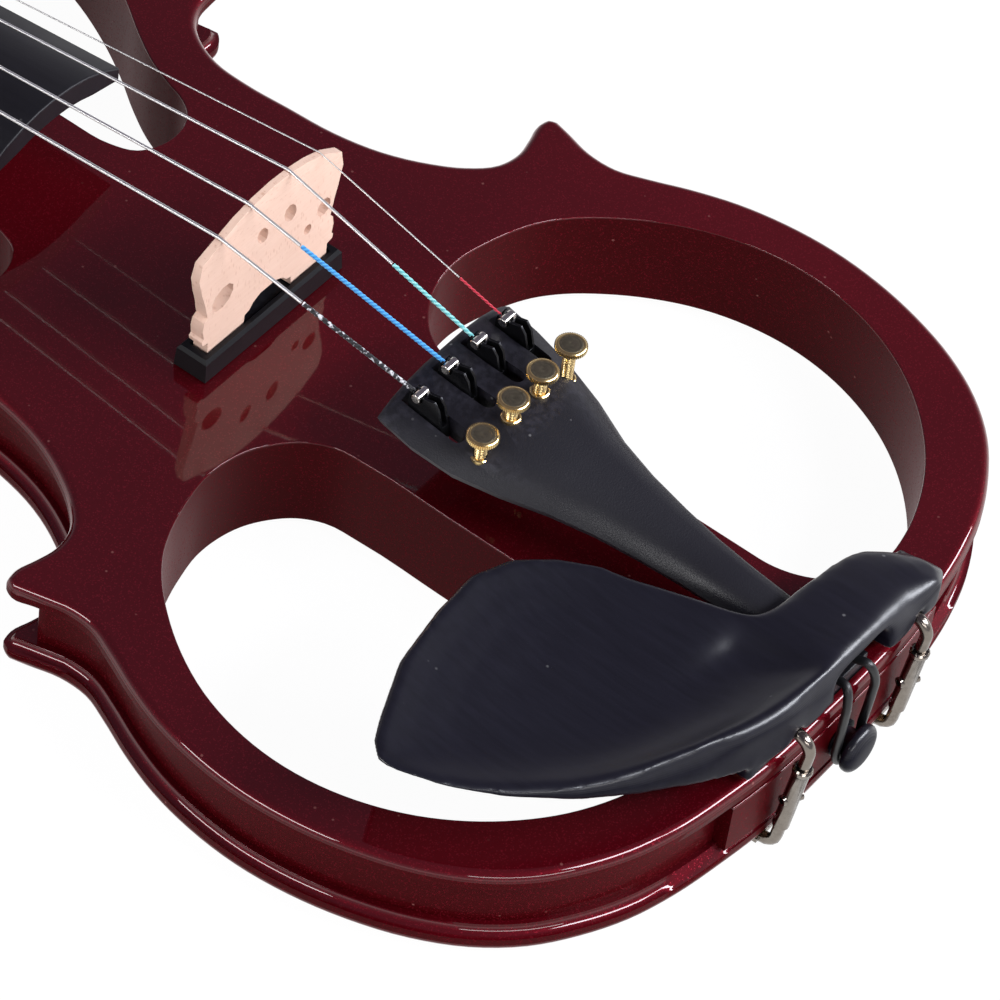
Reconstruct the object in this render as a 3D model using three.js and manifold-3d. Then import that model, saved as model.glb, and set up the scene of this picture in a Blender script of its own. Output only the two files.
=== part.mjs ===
// Electric violin with a frame body, at real size in millimetres.
// +Y runs along the strings to the scroll, +X to the treble side, +Z out of the top.
// The origin lies on the flat back, on the centre line, straight below the bridge.
import * as THREE from "three";
import { mergeVertices } from "three/addons/utils/BufferGeometryUtils.js";
import Module from "manifold-3d";

const wasm = await Module();
wasm.setup();

// General
const cutOverrun = 1;
const mergeTolerance = 0.0005;
const seatGap = 0.3;
const turningGap = 0.15;

// Body
const bodyLength = 356;
const bodyHalfWidth = 102;
const bodyThickness = 24.3;
const tailToBridge = 154;
const flangeThickness = 6.2;
const grooveDepth = 3.3;
const edgeRadius = 2.2;
const grooveStopHalfWidth = 36;
const outlineSteps = 1;
const openingSteps = 1;
// Each pair: share of the half width, share of the body length from the tail.
const bodyOutlineShares = [
  [0, 0], [0.1373, 0.0003], [0.2549, 0.0022], [0.3529, 0.0059], [0.4804, 0.0124],
  [0.5882, 0.0216], [0.6863, 0.0354], [0.7745, 0.0528], [0.8529, 0.077], [0.9137, 0.1062],
  [0.9588, 0.1399], [0.9882, 0.1756], [1, 0.2107], [0.9931, 0.2458], [0.9716, 0.2775],
  [0.9363, 0.3067], [0.898, 0.3315], [0.8725, 0.3511], [0.8716, 0.3708], [0.8882, 0.3888],
  [0.9, 0.402], [0.8895, 0.4088], [0.8605, 0.4103], [0.8145, 0.407], [0.7615, 0.4042],
  [0.706, 0.4075], [0.651, 0.4212], [0.6118, 0.4379], [0.5676, 0.4657], [0.5422, 0.4978],
  [0.5343, 0.5323], [0.5284, 0.5646], [0.5353, 0.5899], [0.5588, 0.6073], [0.5951, 0.6213],
  [0.6422, 0.6292], [0.6961, 0.6315], [0.7392, 0.6331], [0.7676, 0.6404], [0.7608, 0.6531],
  [0.751, 0.6685], [0.7539, 0.6868], [0.7745, 0.7107], [0.802, 0.7402], [0.8216, 0.7725],
  [0.8235, 0.8062], [0.8078, 0.8427], [0.7706, 0.8778], [0.7088, 0.9101], [0.6235, 0.9393],
  [0.5147, 0.9629], [0.3922, 0.9803], [0.2598, 0.9927], [0.1324, 0.9986], [0, 1],
];
const lowerOpeningShares = [
  [0.1716, 0.0983], [0.1725, 0.1657], [0.1725, 0.2472], [0.1716, 0.309], [0.1804, 0.3337],
  [0.2078, 0.3483], [0.251, 0.3598], [0.3049, 0.3685], [0.3676, 0.373], [0.4275, 0.3736],
  [0.4951, 0.3699], [0.5686, 0.3635], [0.6275, 0.3556], [0.6863, 0.343], [0.748, 0.3239],
  [0.8069, 0.3], [0.8559, 0.2716], [0.8843, 0.2424], [0.8941, 0.2135], [0.8843, 0.1826],
  [0.8569, 0.1545], [0.8157, 0.1292], [0.7608, 0.1062], [0.6922, 0.0854], [0.6137, 0.068],
  [0.5196, 0.0542], [0.4265, 0.0458], [0.3382, 0.0433], [0.2647, 0.0489], [0.2118, 0.0629],
  [0.1833, 0.0787],
];
const upperOpeningShares = [
  [0.1706, 0.8539], [0.1706, 0.7697], [0.1706, 0.6854], [0.1716, 0.618], [0.1775, 0.591],
  [0.202, 0.575], [0.2373, 0.5688], [0.2824, 0.5663], [0.3255, 0.568], [0.3618, 0.5739],
  [0.3873, 0.5843], [0.4039, 0.5983], [0.4314, 0.618], [0.4775, 0.6404], [0.5392, 0.6657],
  [0.6, 0.6952], [0.65, 0.7261], [0.6863, 0.7584], [0.7039, 0.7921], [0.702, 0.8272],
  [0.6765, 0.8624], [0.6225, 0.8947], [0.5392, 0.9213], [0.4363, 0.9399], [0.3235, 0.9455],
  [0.2353, 0.9368], [0.1863, 0.9157], [0.1725, 0.8876],
];

// Electronics in the back: battery box on the bass side, control box on the treble side
const pocketDepth = 20;
const batteryLength = 48.5;
const batteryWidth = 26.5;
const batteryHeight = 17.5;
const batteryEndGap = 0.4;
const batteryPocketBass = 48.2;
const batteryPocketTail = 12.5;
const batteryPocketWidth = 28.6;
const lidThickness = 2;
const lidInset = 0.3;
const lidPinRadius = 0.7;
const lidPinLength = 1.5;
const lidEdgeRadius = 1;
const thumbNotchRadius = 4;
const thumbNotchDepth = 1.4;
const controlPocketBass = 11;
const controlPocketTreble = 46.2;
const controlPocketTail = 11;
const controlPocketScroll = 39.5;
const plateLedge = 5;
const plateScrewMargin = 3.2;
const plateThickness = 2;
const plateInset = 0.2;
const plateScrewRadius = 1.2;
const plateScrewHeadRadius = 2.1;
const plateScrewHeadHeight = 1.2;
const plateScrewLength = 9;
const knobRadius = 4.9;
const knobHeight = 3;
const knobShaftRadius = 1.6;
const knobShaftLength = 2.2;
const knobRidgeDepth = 0.35;
const knobRidges = 18;
const potSide = 9.6;
const potHeight = 5.4;
const volumeAcross = 17;
const toneAcross = 27.9;
const potAlong = 33.4;
const switchAcross = 16.4;
const switchAlong = 22.5;
const switchTravel = 2;
const switchNubWidth = 3;
const switchNubHeight = 2.6;
const switchNubRise = 1.8;
const switchBodyWidth = 8;
const switchBodyHeight = 3.4;
const boardThickness = 1.4;
const boardWidth = 20.6;
const boardLength = 13.4;
const boardRise = 10.4;
const chipWidth = 7;
const chipLength = 6;
const chipHeight = 2.2;
const jackHeight = 12.15;
const outputJackAlong = 20;
const outputJackRadius = 6.4;
const outputJackLength = 22;
const outputBushingRadius = 4.6;
const outputNutRadius = 5.6;
const outputBore = 3.25;
const phoneJackAlong = 34.6;
const phoneJackRadius = 3.7;
const phoneJackLength = 12.5;
const phoneBushingRadius = 2.9;
const phoneNutRadius = 4.1;
const phoneBore = 1.85;
const jackNutThickness = 1.9;
const jackNutRise = 0.9;
const jackInnerEnd = 1.5;
const outputJackSpotFace = 52.6;
const phoneJackSpotFace = 50.4;

// Bridge, its pickup bar and the pickup
const bridgeHeight = 39.6;
const bridgeHalfWidth = 22.9;
const bridgeArcRadius = 42;
const bridgeArcShift = 1.2;
const bridgeFootThickness = 4.2;
const bridgeTopThickness = 1.5;
const housingHalfLength = 23;
const housingHalfWidth = 4.3;
const housingHeight = 6;
const housingBevel = 0.9;
const channelFloor = 3.3;
const channelHalfLength = 20.6;
const piezoHalfLength = 19.2;
const piezoHalfWidth = 1.5;
const piezoThickness = 1.1;
const leadRadius = 0.55;
const leadAcross = 14;
const leadHoleRadius = 1.4;
const leadTurnHeight = 15;
// Each pair: share of the half width, share of the bridge height above the top plate.
const bridgeSideShares = [
  [1, 0.833], [1.035, 0.73], [0.99, 0.62], [0.935, 0.52], [0.9, 0.43], [0.885, 0.405],
  [0.935, 0.385], [0.95, 0.33], [0.93, 0.265], [0.955, 0.25], [0.945, 0.222], [0.87, 0.212],
  [0.865, 0.126], [0.345, 0.126], [0.335, 0.19], [0.27, 0.2], [0.215, 0.235], [0.11, 0.262],
];
// Each row: shares of the half width and height for a hole's place, then for its half sizes.
const bridgeHoleShares = [
  [-0.68, 0.47, 0.16, 0.072], [0.78, 0.52, 0.1, 0.06], [-0.13, 0.69, 0.075, 0.06],
  [0.27, 0.69, 0.085, 0.065], [0.55, 0.45, 0.055, 0.035],
];
const bridgeHoleLean = 24;

// Strings
const stringLength = 327;
const stringAcrossBridge = [-16.6, -7.3, 5.5, 16.2];
const nutSpacing = 5.6;
const stringRadius = [0.4, 0.38, 0.34, 0.16];
const silkRadius = [0.52, 0.5, 0.46, 0.28];
const silkStartAlong = [-21.5, -13.5, -28.5, -38.8];
const stringNotchGap = 0.25;
const stringSides = 5;
const coilTurns = 2.5;
const coilStepsPerTurn = 10;
const coilGap = 0.45;
const ballGap = 0.35;

// Tailpiece and its four built-in tuners
const tailpieceFront = 46.2;
const tailpieceEndGap = 4;
const tailpieceLength = tailToBridge - tailpieceFront - tailpieceEndGap;
const tailpieceHalfWidth = 21.75;
const tailpieceDrift = 1.1;
const tailpieceEdgeHeight = 19.2;
const tailpieceCrown = 7.4;
const tailpieceThickness = 4.4;
const crownPower = 3.2;
const tailpieceHollowShare = 0.8;
// Each row: shares of the length, half width, front edge height, crown and thickness.
const tailpieceShares = [
  [0, 0.985, 0.985, 0.6, 0.75], [0.01, 1, 1, 0.63, 1], [0.085, 1, 0.9, 0.76, 1],
  [0.18, 0.94, 0.8, 0.94, 1], [0.277, 0.8, 0.735, 1, 0.95], [0.374, 0.612, 0.66, 0.88, 0.9],
  [0.47, 0.485, 0.61, 0.75, 0.88], [0.567, 0.4, 0.557, 0.68, 0.88], [0.663, 0.336, 0.505, 0.62, 0.9],
  [0.76, 0.3, 0.465, 0.56, 0.92], [0.86, 0.28, 0.425, 0.52, 0.92], [0.955, 0.29, 0.39, 0.48, 0.92],
  [0.99, 0.25, 0.38, 0.42, 0.85], [1, 0.18, 0.375, 0.34, 0.7],
];
const slotSpacing = 9.7;
const slotHalfWidth = 1.7;
const slotInset = 2;
const slotStart = tailpieceFront + slotInset;
const hookInset = 5.4;
const hookAlong = tailpieceFront + hookInset;
const hookRise = [2.6, 2.2, 2.2, 2.6];
const ballRadius = 1.15;
const ballLength = 3.7;
const leverHalfWidth = 1.35;
const forkHalfGap = 0.7;
const leverPivotBehindHook = 1.8;
const leverPivotAlong = hookAlong + leverPivotBehindHook;
const leverPivotDrop = 6;
const leverPinRadius = 0.8;
const leverPinReach = 0.9;
const leverHumpReach = 5;
const leverHumpEnd = leverPivotAlong + leverHumpReach;
const slotRearRoom = 5.2;
const slotEnd = leverHumpEnd + slotRearRoom;
const leverHumpRise = 1.1;
const leverArmThickness = 1.7;
const leverArmDrop = 11.8;
const leverArmReach = 14.4;
const leverFrontReach = 1.9;
const screwAlong = leverPivotAlong + leverArmReach;
const screwRadius = 1.4;
const screwHeadRadius = 3.5;
const screwHeadThickness = 1.7;
const screwHeadRise = [5.5, 6, 6.7, 9.5];
const knurlDepth = 0.28;
const knurls = 18;

// Tail gut, end button and saddle
const gutRadius = 1.15;
const gutSpread = 3.4;
const gutExitDrop = 3.6;
const gutBoreLength = 11;
const gutBulge = 2.3;
const gutSides = 6;
// Each row: shares of the spread, and of the bulge outwards and downwards.
const gutShares = [[1.15, 0.333, -0.283], [1.4, 1, 1], [1.5, 1.15, 2.4]];
const gutLoopShare = 0.6;
const underNeckShares = [0.25, 0.5, 0.75];
const buttonHeight = 11;
const buttonHeadRadius = 5.6;
const buttonHeadLength = 1.5;
const buttonDomeLength = 1.6;
const buttonNeckRadius = 3.1;
const buttonNeckLength = 2.9;
const buttonCollarRadius = 4.4;
const buttonCollarLength = 0.4;
const buttonShankRadius = 3.7;
const buttonShankLength = 17;
const buttonTaperShare = 0.93;
// Each row: shares of the dome's length and of the head's radius.
const buttonDomeShares = [[0, 1], [0.5, 0.89], [0.86, 0.64], [1, 0.2], [1, 0]];
const saddleHalfWidth = 9.6;
const saddleFront = 7.4;
const saddleBack = 2.4;
const saddleRise = 3;
const saddleDepth = 2;

// Chinrest
const chinrestReach = 91;
const chinrestDepth = 70.8;
const chinrestOverhang = 2.4;
const chinrestTail = tailToBridge + chinrestOverhang;
const chinrestHeight = 21.5;
const chinrestDish = 12.5;
const chinrestCupThickness = 4.6;
const chinrestCentreAcross = 44;
const chinrestCentreDepth = 28.4;
const chinrestRimDrop = 1.5;
// Each row: shares of the reach, the depth, and the height of the rim and of its lower edge.
const chinrestShares = [
  [-1, 0.768, 0.907, 0.86], [-0.962, 0.822, 0.93, 0.83], [-0.898, 0.863, 0.93, 0.76],
  [-0.744, 0.948, 0.93, 0.628], [-0.574, 0.987, 0.907, 0.581], [-0.438, 0.998, 0.884, 0.558],
  [-0.34, 0.955, 0.86, 0.535], [-0.266, 0.867, 0.837, 0.535], [-0.218, 0.768, 0.814, 0.512],
  [-0.17, 0.623, 0.814, 0.512], [-0.132, 0.486, 0.814, 0.512], [-0.104, 0.373, 0.814, 0.535],
  [-0.08, 0.305, 0.814, 0.605], [0.033, 0.281, 0.814, 0.665], [0.11, 0.279, 0.77, 0.62],
  [0.203, 0.274, 0.71, 0.42], [0.255, 0.252, 0.67, 0.3], [0.31, 0.186, 0.61, 0.22],
  [0.352, 0.115, 0.55, 0.209], [0.37, 0.049, 0.5, 0.209], [0.31, 0.014, 0.6, 0.186],
  [0.165, 0.003, 0.744, 0.279], [0, 0, 0.884, 0.372], [-0.165, 0.006, 0.977, 0.326],
  [-0.297, 0.025, 1, 0.233], [-0.4, 0.063, 1, 0.279], [-0.505, 0.115, 0.96, 0.372],
  [-0.626, 0.196, 0.88, 0.46], [-0.753, 0.308, 0.81, 0.54], [-0.868, 0.451, 0.8, 0.65],
  [-0.951, 0.591, 0.845, 0.77], [-0.992, 0.698, 0.885, 0.85],
];
const dishRingShares = [0.975, 0.93, 0.84, 0.7, 0.5, 0.25];
// The raised part over the tailpiece. Each row: shares of the reach, of the depth at the tail
// edge and at the front edge, and of the height at the tail edge, the middle and the front edge.
const overpassShares = [
  [-0.19, 0.12, 0.45, 0.56, 0.56, 0.56], [-0.14, 0.05, 0.4, 0.76, 0.7, 0.7],
  [-0.1, 0.02, 0.335, 0.895, 0.8, 0.79], [0, 0.015, 0.272, 0.865, 0.8, 0.79],
  [0.11, 0.015, 0.265, 0.77, 0.77, 0.75], [0.203, 0.02, 0.26, 0.69, 0.71, 0.69],
  [0.28, 0.025, 0.2, 0.61, 0.65, 0.625], [0.335, 0.05, 0.12, 0.545, 0.565, 0.555],
];
const overpassBaseShare = 0.45;
const archHalfWidth = 9.8;
const archHeight = 13.8;
const footInner = 13.5;
const footOuter = 34;
const footTrebleOuter = 31;
const footSetback = 1;
const footLength = 13;
const footBack = tailToBridge - footSetback;
const footFront = footBack - footLength;
const footTop = 11;
const corkThickness = 1.1;
const corkGap = 0.25;
const corkInset = 2;

// Chinrest clamps
const clampSpread = 20.8;
const clampStandoff = 3.5;
const clampReach = tailToBridge + clampStandoff;
const clampLeanAlong = 1.6;
const clampLeanAcross = -1;
const rodRadius = 1.35;
const rodSides = 10;
const upperRodHeight = 6.6;
const upperBend = 3.6;
const upperRodLength = 11.5;
const upperRodInner = clampReach - upperRodLength;
const barrelTop = 21.8;
const barrelBottom = 4.4;
const barrelRadius = 1.85;
const barrelBore = 1.45;
const barrelRingRadius = 2.2;
const barrelRingHeight = 1.3;
const crossHoleRadius = 0.75;
const crossRimRadius = 1.25;
const crossRimReach = 0.5;
const crossHoleShare = 0.5;
const crossHoleTurn = -25;
const rodInsertLength = 5.5;
const lowerBend = 3.2;
const footPlateThickness = 1.2;
const footPlateDrop = 2.9;
const footPlateHalfWidth = 24;
const footPlateSetback = 1.6;
const footPlateLength = 11.4;
const footPlateBack = tailToBridge - footPlateSetback;
const footPlateFront = footPlateBack - footPlateLength;
const lowerRodDrop = 2.3;
const lowerRodSeat = 2;
const lowerRodInner = footPlateFront + lowerRodSeat;
const lowerCorkThickness = 1.2;

// Neck, fingerboard and nut
const boardEnd = 57.5;
const boardEndSeat = 15.5;
const boardNutSeat = -1;
const boardEdgeThickness = 4;
const boardEndHalfWidth = 21.3;
const boardNutHalfWidth = 12;
const boardTopRadius = 40;
const boardHollow = 3.7;
const boardHollowEdge = 4.6;
const boardHollowEnd = 190;
const boardHollowFade = 12;
const boardArcPoints = 8;
const nutThickness = 5;
const nutRise = 0.85;
const nutNotchDepth = 0.5;
const heelTenonLength = 8;
const heelTenonHalfWidth = 14.2;
const heelTenonDepth = 20;
const neckDepth = 13;
const heelDepth = 31;
const neckSidePoints = 7;
// Each row: shares of the bare neck's length from the body, the heel depth and the fullness.
const neckShares = [
  [0, 0.985, 0.62], [0.025, 0.93, 0.66], [0.06, 0.8, 0.74], [0.1, 0.65, 0.85], [0.15, 0.54, 0.95],
  [0.22, 0.475, 1], [0.4, 0.445, 1], [0.7, 0.425, 1], [1, 0.415, 1],
];

// Pegbox and scroll
const pegboxLength = 76;
const pegboxNutHalfWidth = 12;
const pegboxEndHalfWidth = 7.6;
const pegboxWall = 4.4;
const pegboxNutFloor = 9;
const pegboxRimNut = 22.2;
const pegboxRimEnd = 17.6;
const pegboxFloorThickness = 3.8;
const pegboxCavityStart = 5;
const pegboxCavityEnd = 68;
const scrollRadius = 15.6;
const scrollBeyondNut = 92;
const scrollAlong = stringLength + scrollBeyondNut;
const scrollHeight = 12;
const scrollSpineHalfWidth = 6.6;
// Each row: shares of the scroll radius for a turn's radius and its two offsets, then
// the share of the eye's reach that the turn stands out.
const scrollTurnShares = [
  [0.8, -0.03, 0.04, 0.52], [0.6, -0.07, 0.1, 0.72], [0.42, 0, 0.1, 0.87], [0.25, 0.03, 0.03, 1],
];
const scrollEyeReach = 19.5;
// The pegbox back: shares of the run from the nut to the scroll, and of the fall to its foot.
const pegboxBackShares = [
  [0.08, 0.12], [0.22, 0.4], [0.42, 0.68], [0.63, 0.87], [0.84, 0.98],
];
const pegRadius = 3.7;
const pegTaper = 0.5;
const pegEndReach = 1;
const pegShoulderReach = 2.4;
const pegCollarRadius = 4.9;
const pegCollarLength = 2.2;
const pegNeckRadius = 2.7;
const pegNeckLength = 3.4;
const pegHeadHalfLength = 8.2;
const pegHeadHalfWidth = 10.2;
const pegHeadThickness = 3.2;
const pegHeadBevel = 1.5;
const pegPinRadius = 1.5;
const pegSides = 14;
const pegBeyondNut = [22, 51, 64.5, 36.5];
const pegAlong = pegBeyondNut.map((run) => stringLength + run);
const pegDepthShare = 0.465;
const pegCoilStart = [1.2, 0.6, 0.3, 0.9];

// Materials
const lacquer = { color: 0x4d0711, roughness: 0.12, metalness: 0.25 };
const ebony = { color: 0x17171c, roughness: 0.55, metalness: 0 };
const blackMetal = { color: 0x111114, roughness: 0.3, metalness: 0.7 };
const brass = { color: 0xc6a25a, roughness: 0.28, metalness: 1 };
const nickel = { color: 0xb9b4ae, roughness: 0.16, metalness: 1 };
const maple = { color: 0xe0b48a, roughness: 0.6, metalness: 0 };
const blackPlastic = { color: 0x0d0d0f, roughness: 0.35, metalness: 0 };
const steelString = { color: 0xdadadc, roughness: 0.22, metalness: 1 };
const cork = { color: 0xa9794e, roughness: 0.9, metalness: 0 };
const nylon = { color: 0x0c0c0e, roughness: 0.4, metalness: 0 };
const circuit = { color: 0x1d4a2c, roughness: 0.5, metalness: 0.1 };
const batteryCase = { color: 0x2b2d33, roughness: 0.4, metalness: 0.5 };

// Geometry helpers

/** Turns a closed geometry into a solid for joining and cutting. */
function toSolid(geometry) {
  const bare = geometry.clone();
  bare.deleteAttribute("normal");
  bare.deleteAttribute("uv");
  const merged = mergeVertices(bare, mergeTolerance);
  const source = merged.index.array;
  const triVerts = [];
  for (let i = 0; i < source.length; i += 3) {
    const [a, b, c] = [source[i], source[i + 1], source[i + 2]];
    if (a !== b && b !== c && c !== a) triVerts.push(a, b, c);
  }
  const mesh = new wasm.Mesh({
    numProp: 3,
    vertProperties: new Float32Array(merged.attributes.position.array),
    triVerts: new Uint32Array(triVerts),
  });
  return new wasm.Manifold(mesh);
}

/** Gives a solid's surface back as a geometry. */
function toGeometry(solid) {
  const mesh = solid.getMesh();
  const geometry = new THREE.BufferGeometry();
  geometry.setAttribute("position", new THREE.BufferAttribute(new Float32Array(mesh.vertProperties), 3));
  geometry.setIndex(new THREE.BufferAttribute(new Uint32Array(mesh.triVerts), 1));
  geometry.computeVertexNormals();
  return geometry;
}

/** Joins geometries and cuts others from them, into one geometry. */
function shaped(joined, cuts = []) {
  let solid = toSolid(joined[0]);
  for (const part of joined.slice(1)) solid = solid.add(toSolid(part));
  for (const part of cuts) solid = solid.subtract(toSolid(part));
  return toGeometry(solid);
}

/** Keeps what two geometries share. */
function common(first, second) {
  return toGeometry(toSolid(first).intersect(toSolid(second)));
}

/** Signed volume of an indexed surface, positive when its faces point out. */
function signedVolume(positions, index) {
  let sum = 0;
  for (let i = 0; i < index.length; i += 3) {
    const a = new THREE.Vector3().fromArray(positions, index[i] * 3);
    const b = new THREE.Vector3().fromArray(positions, index[i + 1] * 3);
    const c = new THREE.Vector3().fromArray(positions, index[i + 2] * 3);
    sum += a.dot(b.cross(c));
  }
  return sum;
}

/** Triangles that close one ring, in the ring's own order. */
function capTriangles(ring) {
  const normal = new THREE.Vector3();
  ring.forEach((p, i) => {
    const q = ring[(i + 1) % ring.length];
    normal.x += (p.y - q.y) * (p.z + q.z);
    normal.y += (p.z - q.z) * (p.x + q.x);
    normal.z += (p.x - q.x) * (p.y + q.y);
  });
  const size = [Math.abs(normal.x), Math.abs(normal.y), Math.abs(normal.z)];
  const drop = size.indexOf(Math.max(...size));
  const flat = ring.map((p) => {
    if (drop === 0) return new THREE.Vector2(p.y, p.z);
    if (drop === 1) return new THREE.Vector2(p.z, p.x);
    return new THREE.Vector2(p.x, p.y);
  });
  const turn = Math.sign(THREE.ShapeUtils.area(flat));
  return THREE.ShapeUtils.triangulateShape(flat, []).map(([a, b, c]) => {
    const area = THREE.ShapeUtils.area([flat[a], flat[b], flat[c]]);
    return Math.sign(area) === turn ? [a, b, c] : [a, c, b];
  });
}

/** A closed skin through rings of equal point count, with flat ends. */
function stack(rings) {
  const count = rings[0].length;
  const positions = rings.flat().flatMap((p) => [p.x, p.y, p.z]);
  let index = [];
  for (let k = 0; k < rings.length - 1; k++) {
    for (let i = 0; i < count; i++) {
      const j = (i + 1) % count;
      const [a, b] = [k * count + i, k * count + j];
      const [c, d] = [b + count, a + count];
      index.push(a, b, c, a, c, d);
    }
  }
  const last = (rings.length - 1) * count;
  for (const [a, b, c] of capTriangles(rings[0])) index.push(a, c, b);
  for (const [a, b, c] of capTriangles(rings[rings.length - 1])) index.push(last + a, last + b, last + c);
  if (signedVolume(positions, index) < 0) index = index.reverse();
  const geometry = new THREE.BufferGeometry();
  geometry.setAttribute("position", new THREE.Float32BufferAttribute(positions, 3));
  geometry.setIndex(index);
  geometry.computeVertexNormals();
  return geometry;
}

/** A flat outline pulled from one height to another along Z. */
function prism(outline, low, high) {
  return stack([low, high].map((z) => outline.map((p) => new THREE.Vector3(p.x, p.y, z))));
}

/** An outline in the YZ plane pulled along X; outline points hold y and z. */
function prismX(outline, low, high) {
  return stack([low, high].map((x) => outline.map((p) => new THREE.Vector3(x, p.x, p.y))));
}

/** An outline in the XZ plane pulled along Y; outline points hold x and z. */
function prismY(outline, low, high) {
  return stack([low, high].map((y) => outline.map((p) => new THREE.Vector3(p.x, y, p.y))));
}

/** A box given by its two corners. */
function box(x0, x1, y0, y1, z0, z1) {
  const geometry = new THREE.BoxGeometry(x1 - x0, y1 - y0, z1 - z0);
  return geometry.translate((x0 + x1) / 2, (y0 + y1) / 2, (z0 + z1) / 2);
}

/** Points of a circle, its two radii given. */
function ellipse(cx, cy, rx, ry, count) {
  return Array.from({ length: count }, (_, i) => {
    const turn = (i / count) * Math.PI * 2;
    return new THREE.Vector2(cx + rx * Math.cos(turn), cy + ry * Math.sin(turn));
  });
}

/** A round bar between two points, with its own radius at each. */
function bar(from, to, radius, sides = 12, endRadius = radius) {
  const along = new THREE.Vector3().subVectors(to, from);
  const geometry = new THREE.CylinderGeometry(endRadius, radius, along.length(), sides);
  const middle = new THREE.Vector3().addVectors(from, to).multiplyScalar(1 / 2);
  const up = new THREE.Vector3(0, 1, 0);
  geometry.applyQuaternion(new THREE.Quaternion().setFromUnitVectors(up, along.normalize()));
  return geometry.translate(middle.x, middle.y, middle.z);
}

/** A turned shape: pairs of distance along the direction and radius, from a start point. */
function turned(start, direction, profile, sides = 20) {
  const points = profile.map(([along, radius]) => new THREE.Vector2(radius, along));
  const geometry = new THREE.LatheGeometry(points, sides);
  const up = new THREE.Vector3(0, 1, 0);
  geometry.applyQuaternion(new THREE.Quaternion().setFromUnitVectors(up, direction));
  geometry.translate(start.x, start.y, start.z);
  const solid = outward(geometry);
  return solid;
}

/** Flips a closed geometry whose faces point in. */
function outward(geometry) {
  const index = Array.from(geometry.index.array);
  const positions = geometry.attributes.position.array;
  if (signedVolume(positions, index) < 0) geometry.setIndex(index.reverse());
  return geometry;
}

/** A round cord along points, with a radius at each, kept free of twist. */
function cord(points, radii, sides) {
  const rings = [];
  let side = new THREE.Vector3(1, 0, 0);
  for (let i = 0; i < points.length; i++) {
    const before = points[Math.max(i - 1, 0)];
    const after = points[Math.min(i + 1, points.length - 1)];
    const ahead = new THREE.Vector3().subVectors(after, points[i]).normalize();
    const behind = new THREE.Vector3().subVectors(points[i], before).normalize();
    const tangent = ahead.clone().add(behind).normalize();
    side.addScaledVector(tangent, -side.dot(tangent)).normalize();
    const other = new THREE.Vector3().crossVectors(tangent, side);
    const radius = Array.isArray(radii) ? radii[i] : radii;
    rings.push(Array.from({ length: sides }, (_, k) => {
      const turn = (k / sides) * Math.PI * 2;
      const point = points[i].clone().addScaledVector(side, radius * Math.cos(turn));
      return point.addScaledVector(other, radius * Math.sin(turn));
    }));
    side = side.clone();
  }
  return stack(rings);
}

/** A smooth closed or open run of points through the given ones. */
function smooth(points, closed, steps) {
  const placed = points.map((p) => new THREE.Vector3(p.x, p.y, 0));
  const curve = new THREE.CatmullRomCurve3(placed, closed, "centripetal");
  const count = (closed ? points.length : points.length - 1) * steps;
  const run = Array.from({ length: closed ? count : count + 1 }, (_, i) => curve.getPoint(i / count));
  return run.map((p) => new THREE.Vector2(p.x, p.y));
}

/** Moves each point of a counter-clockwise loop inward by a distance. */
function inset(loop, distance) {
  return loop.map((p, i) => {
    const before = loop[(i + loop.length - 1) % loop.length];
    const after = loop[(i + 1) % loop.length];
    const along = new THREE.Vector2().subVectors(after, before).normalize();
    return new THREE.Vector2(p.x - along.y * distance, p.y + along.x * distance);
  });
}

/** Distance from a point to a closed loop. */
function distanceTo(loop, point) {
  let least = Infinity;
  loop.forEach((a, i) => {
    const b = loop[(i + 1) % loop.length];
    const run = new THREE.Vector2().subVectors(b, a);
    const reach = new THREE.Vector2().subVectors(point, a);
    const share = THREE.MathUtils.clamp(reach.dot(run) / run.lengthSq(), 0, 1);
    least = Math.min(least, reach.addScaledVector(run, -share).length());
  });
  return least;
}

/** An inset loop without the folds that a deep inset makes at tight corners. */
function cleanInset(loop, distance) {
  const keepShare = 0.985;
  return inset(loop, distance).filter((p) => distanceTo(loop, p) > distance * keepShare);
}

/** Straight-line blend between rows of a table by its first column. */
function fromTable(table, at, column) {
  const last = table.length - 1;
  if (at <= table[0][0]) return table[0][column];
  if (at >= table[last][0]) return table[last][column];
  const next = table.findIndex((row) => row[0] >= at);
  const [low, high] = [table[next - 1], table[next]];
  return THREE.MathUtils.mapLinear(at, low[0], high[0], low[column], high[column]);
}

const violin = new THREE.Group();

/** Adds one named piece with its own material. */
function piece(name, geometry, look) {
  const mesh = new THREE.Mesh(geometry, new THREE.MeshStandardMaterial(look));
  mesh.name = name;
  violin.add(mesh);
}

const alongX = new THREE.Vector3(1, 0, 0);
const alongY = new THREE.Vector3(0, 1, 0);
const alongZ = new THREE.Vector3(0, 0, 1);
const point = (x, y, z) => new THREE.Vector3(x, y, z);
const flat = (x, y) => new THREE.Vector2(x, y);
const bassToTreble = [0, 1, 2, 3];
const stringNames = ["g", "d", "a", "e"];
const spread = (spacing, i) => (i - (bassToTreble.length - 1) / 2) * spacing;

// Body outline and openings
const fromShares = ([x, y]) => flat(x * bodyHalfWidth, y * bodyLength - tailToBridge);
const trebleHalf = smooth(bodyOutlineShares.map(fromShares), false, outlineSteps);
const bassHalf = trebleHalf.slice(1, -1).map((p) => flat(-p.x, p.y)).reverse();
const bodyOutline = [...trebleHalf, ...bassHalf];
const mirrored = (loop) => loop.map((p) => flat(-p.x, p.y)).reverse();
const lowerOpening = smooth(lowerOpeningShares.map(fromShares), true, openingSteps);
const upperOpening = smooth(upperOpeningShares.map(fromShares), true, openingSteps);

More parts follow.
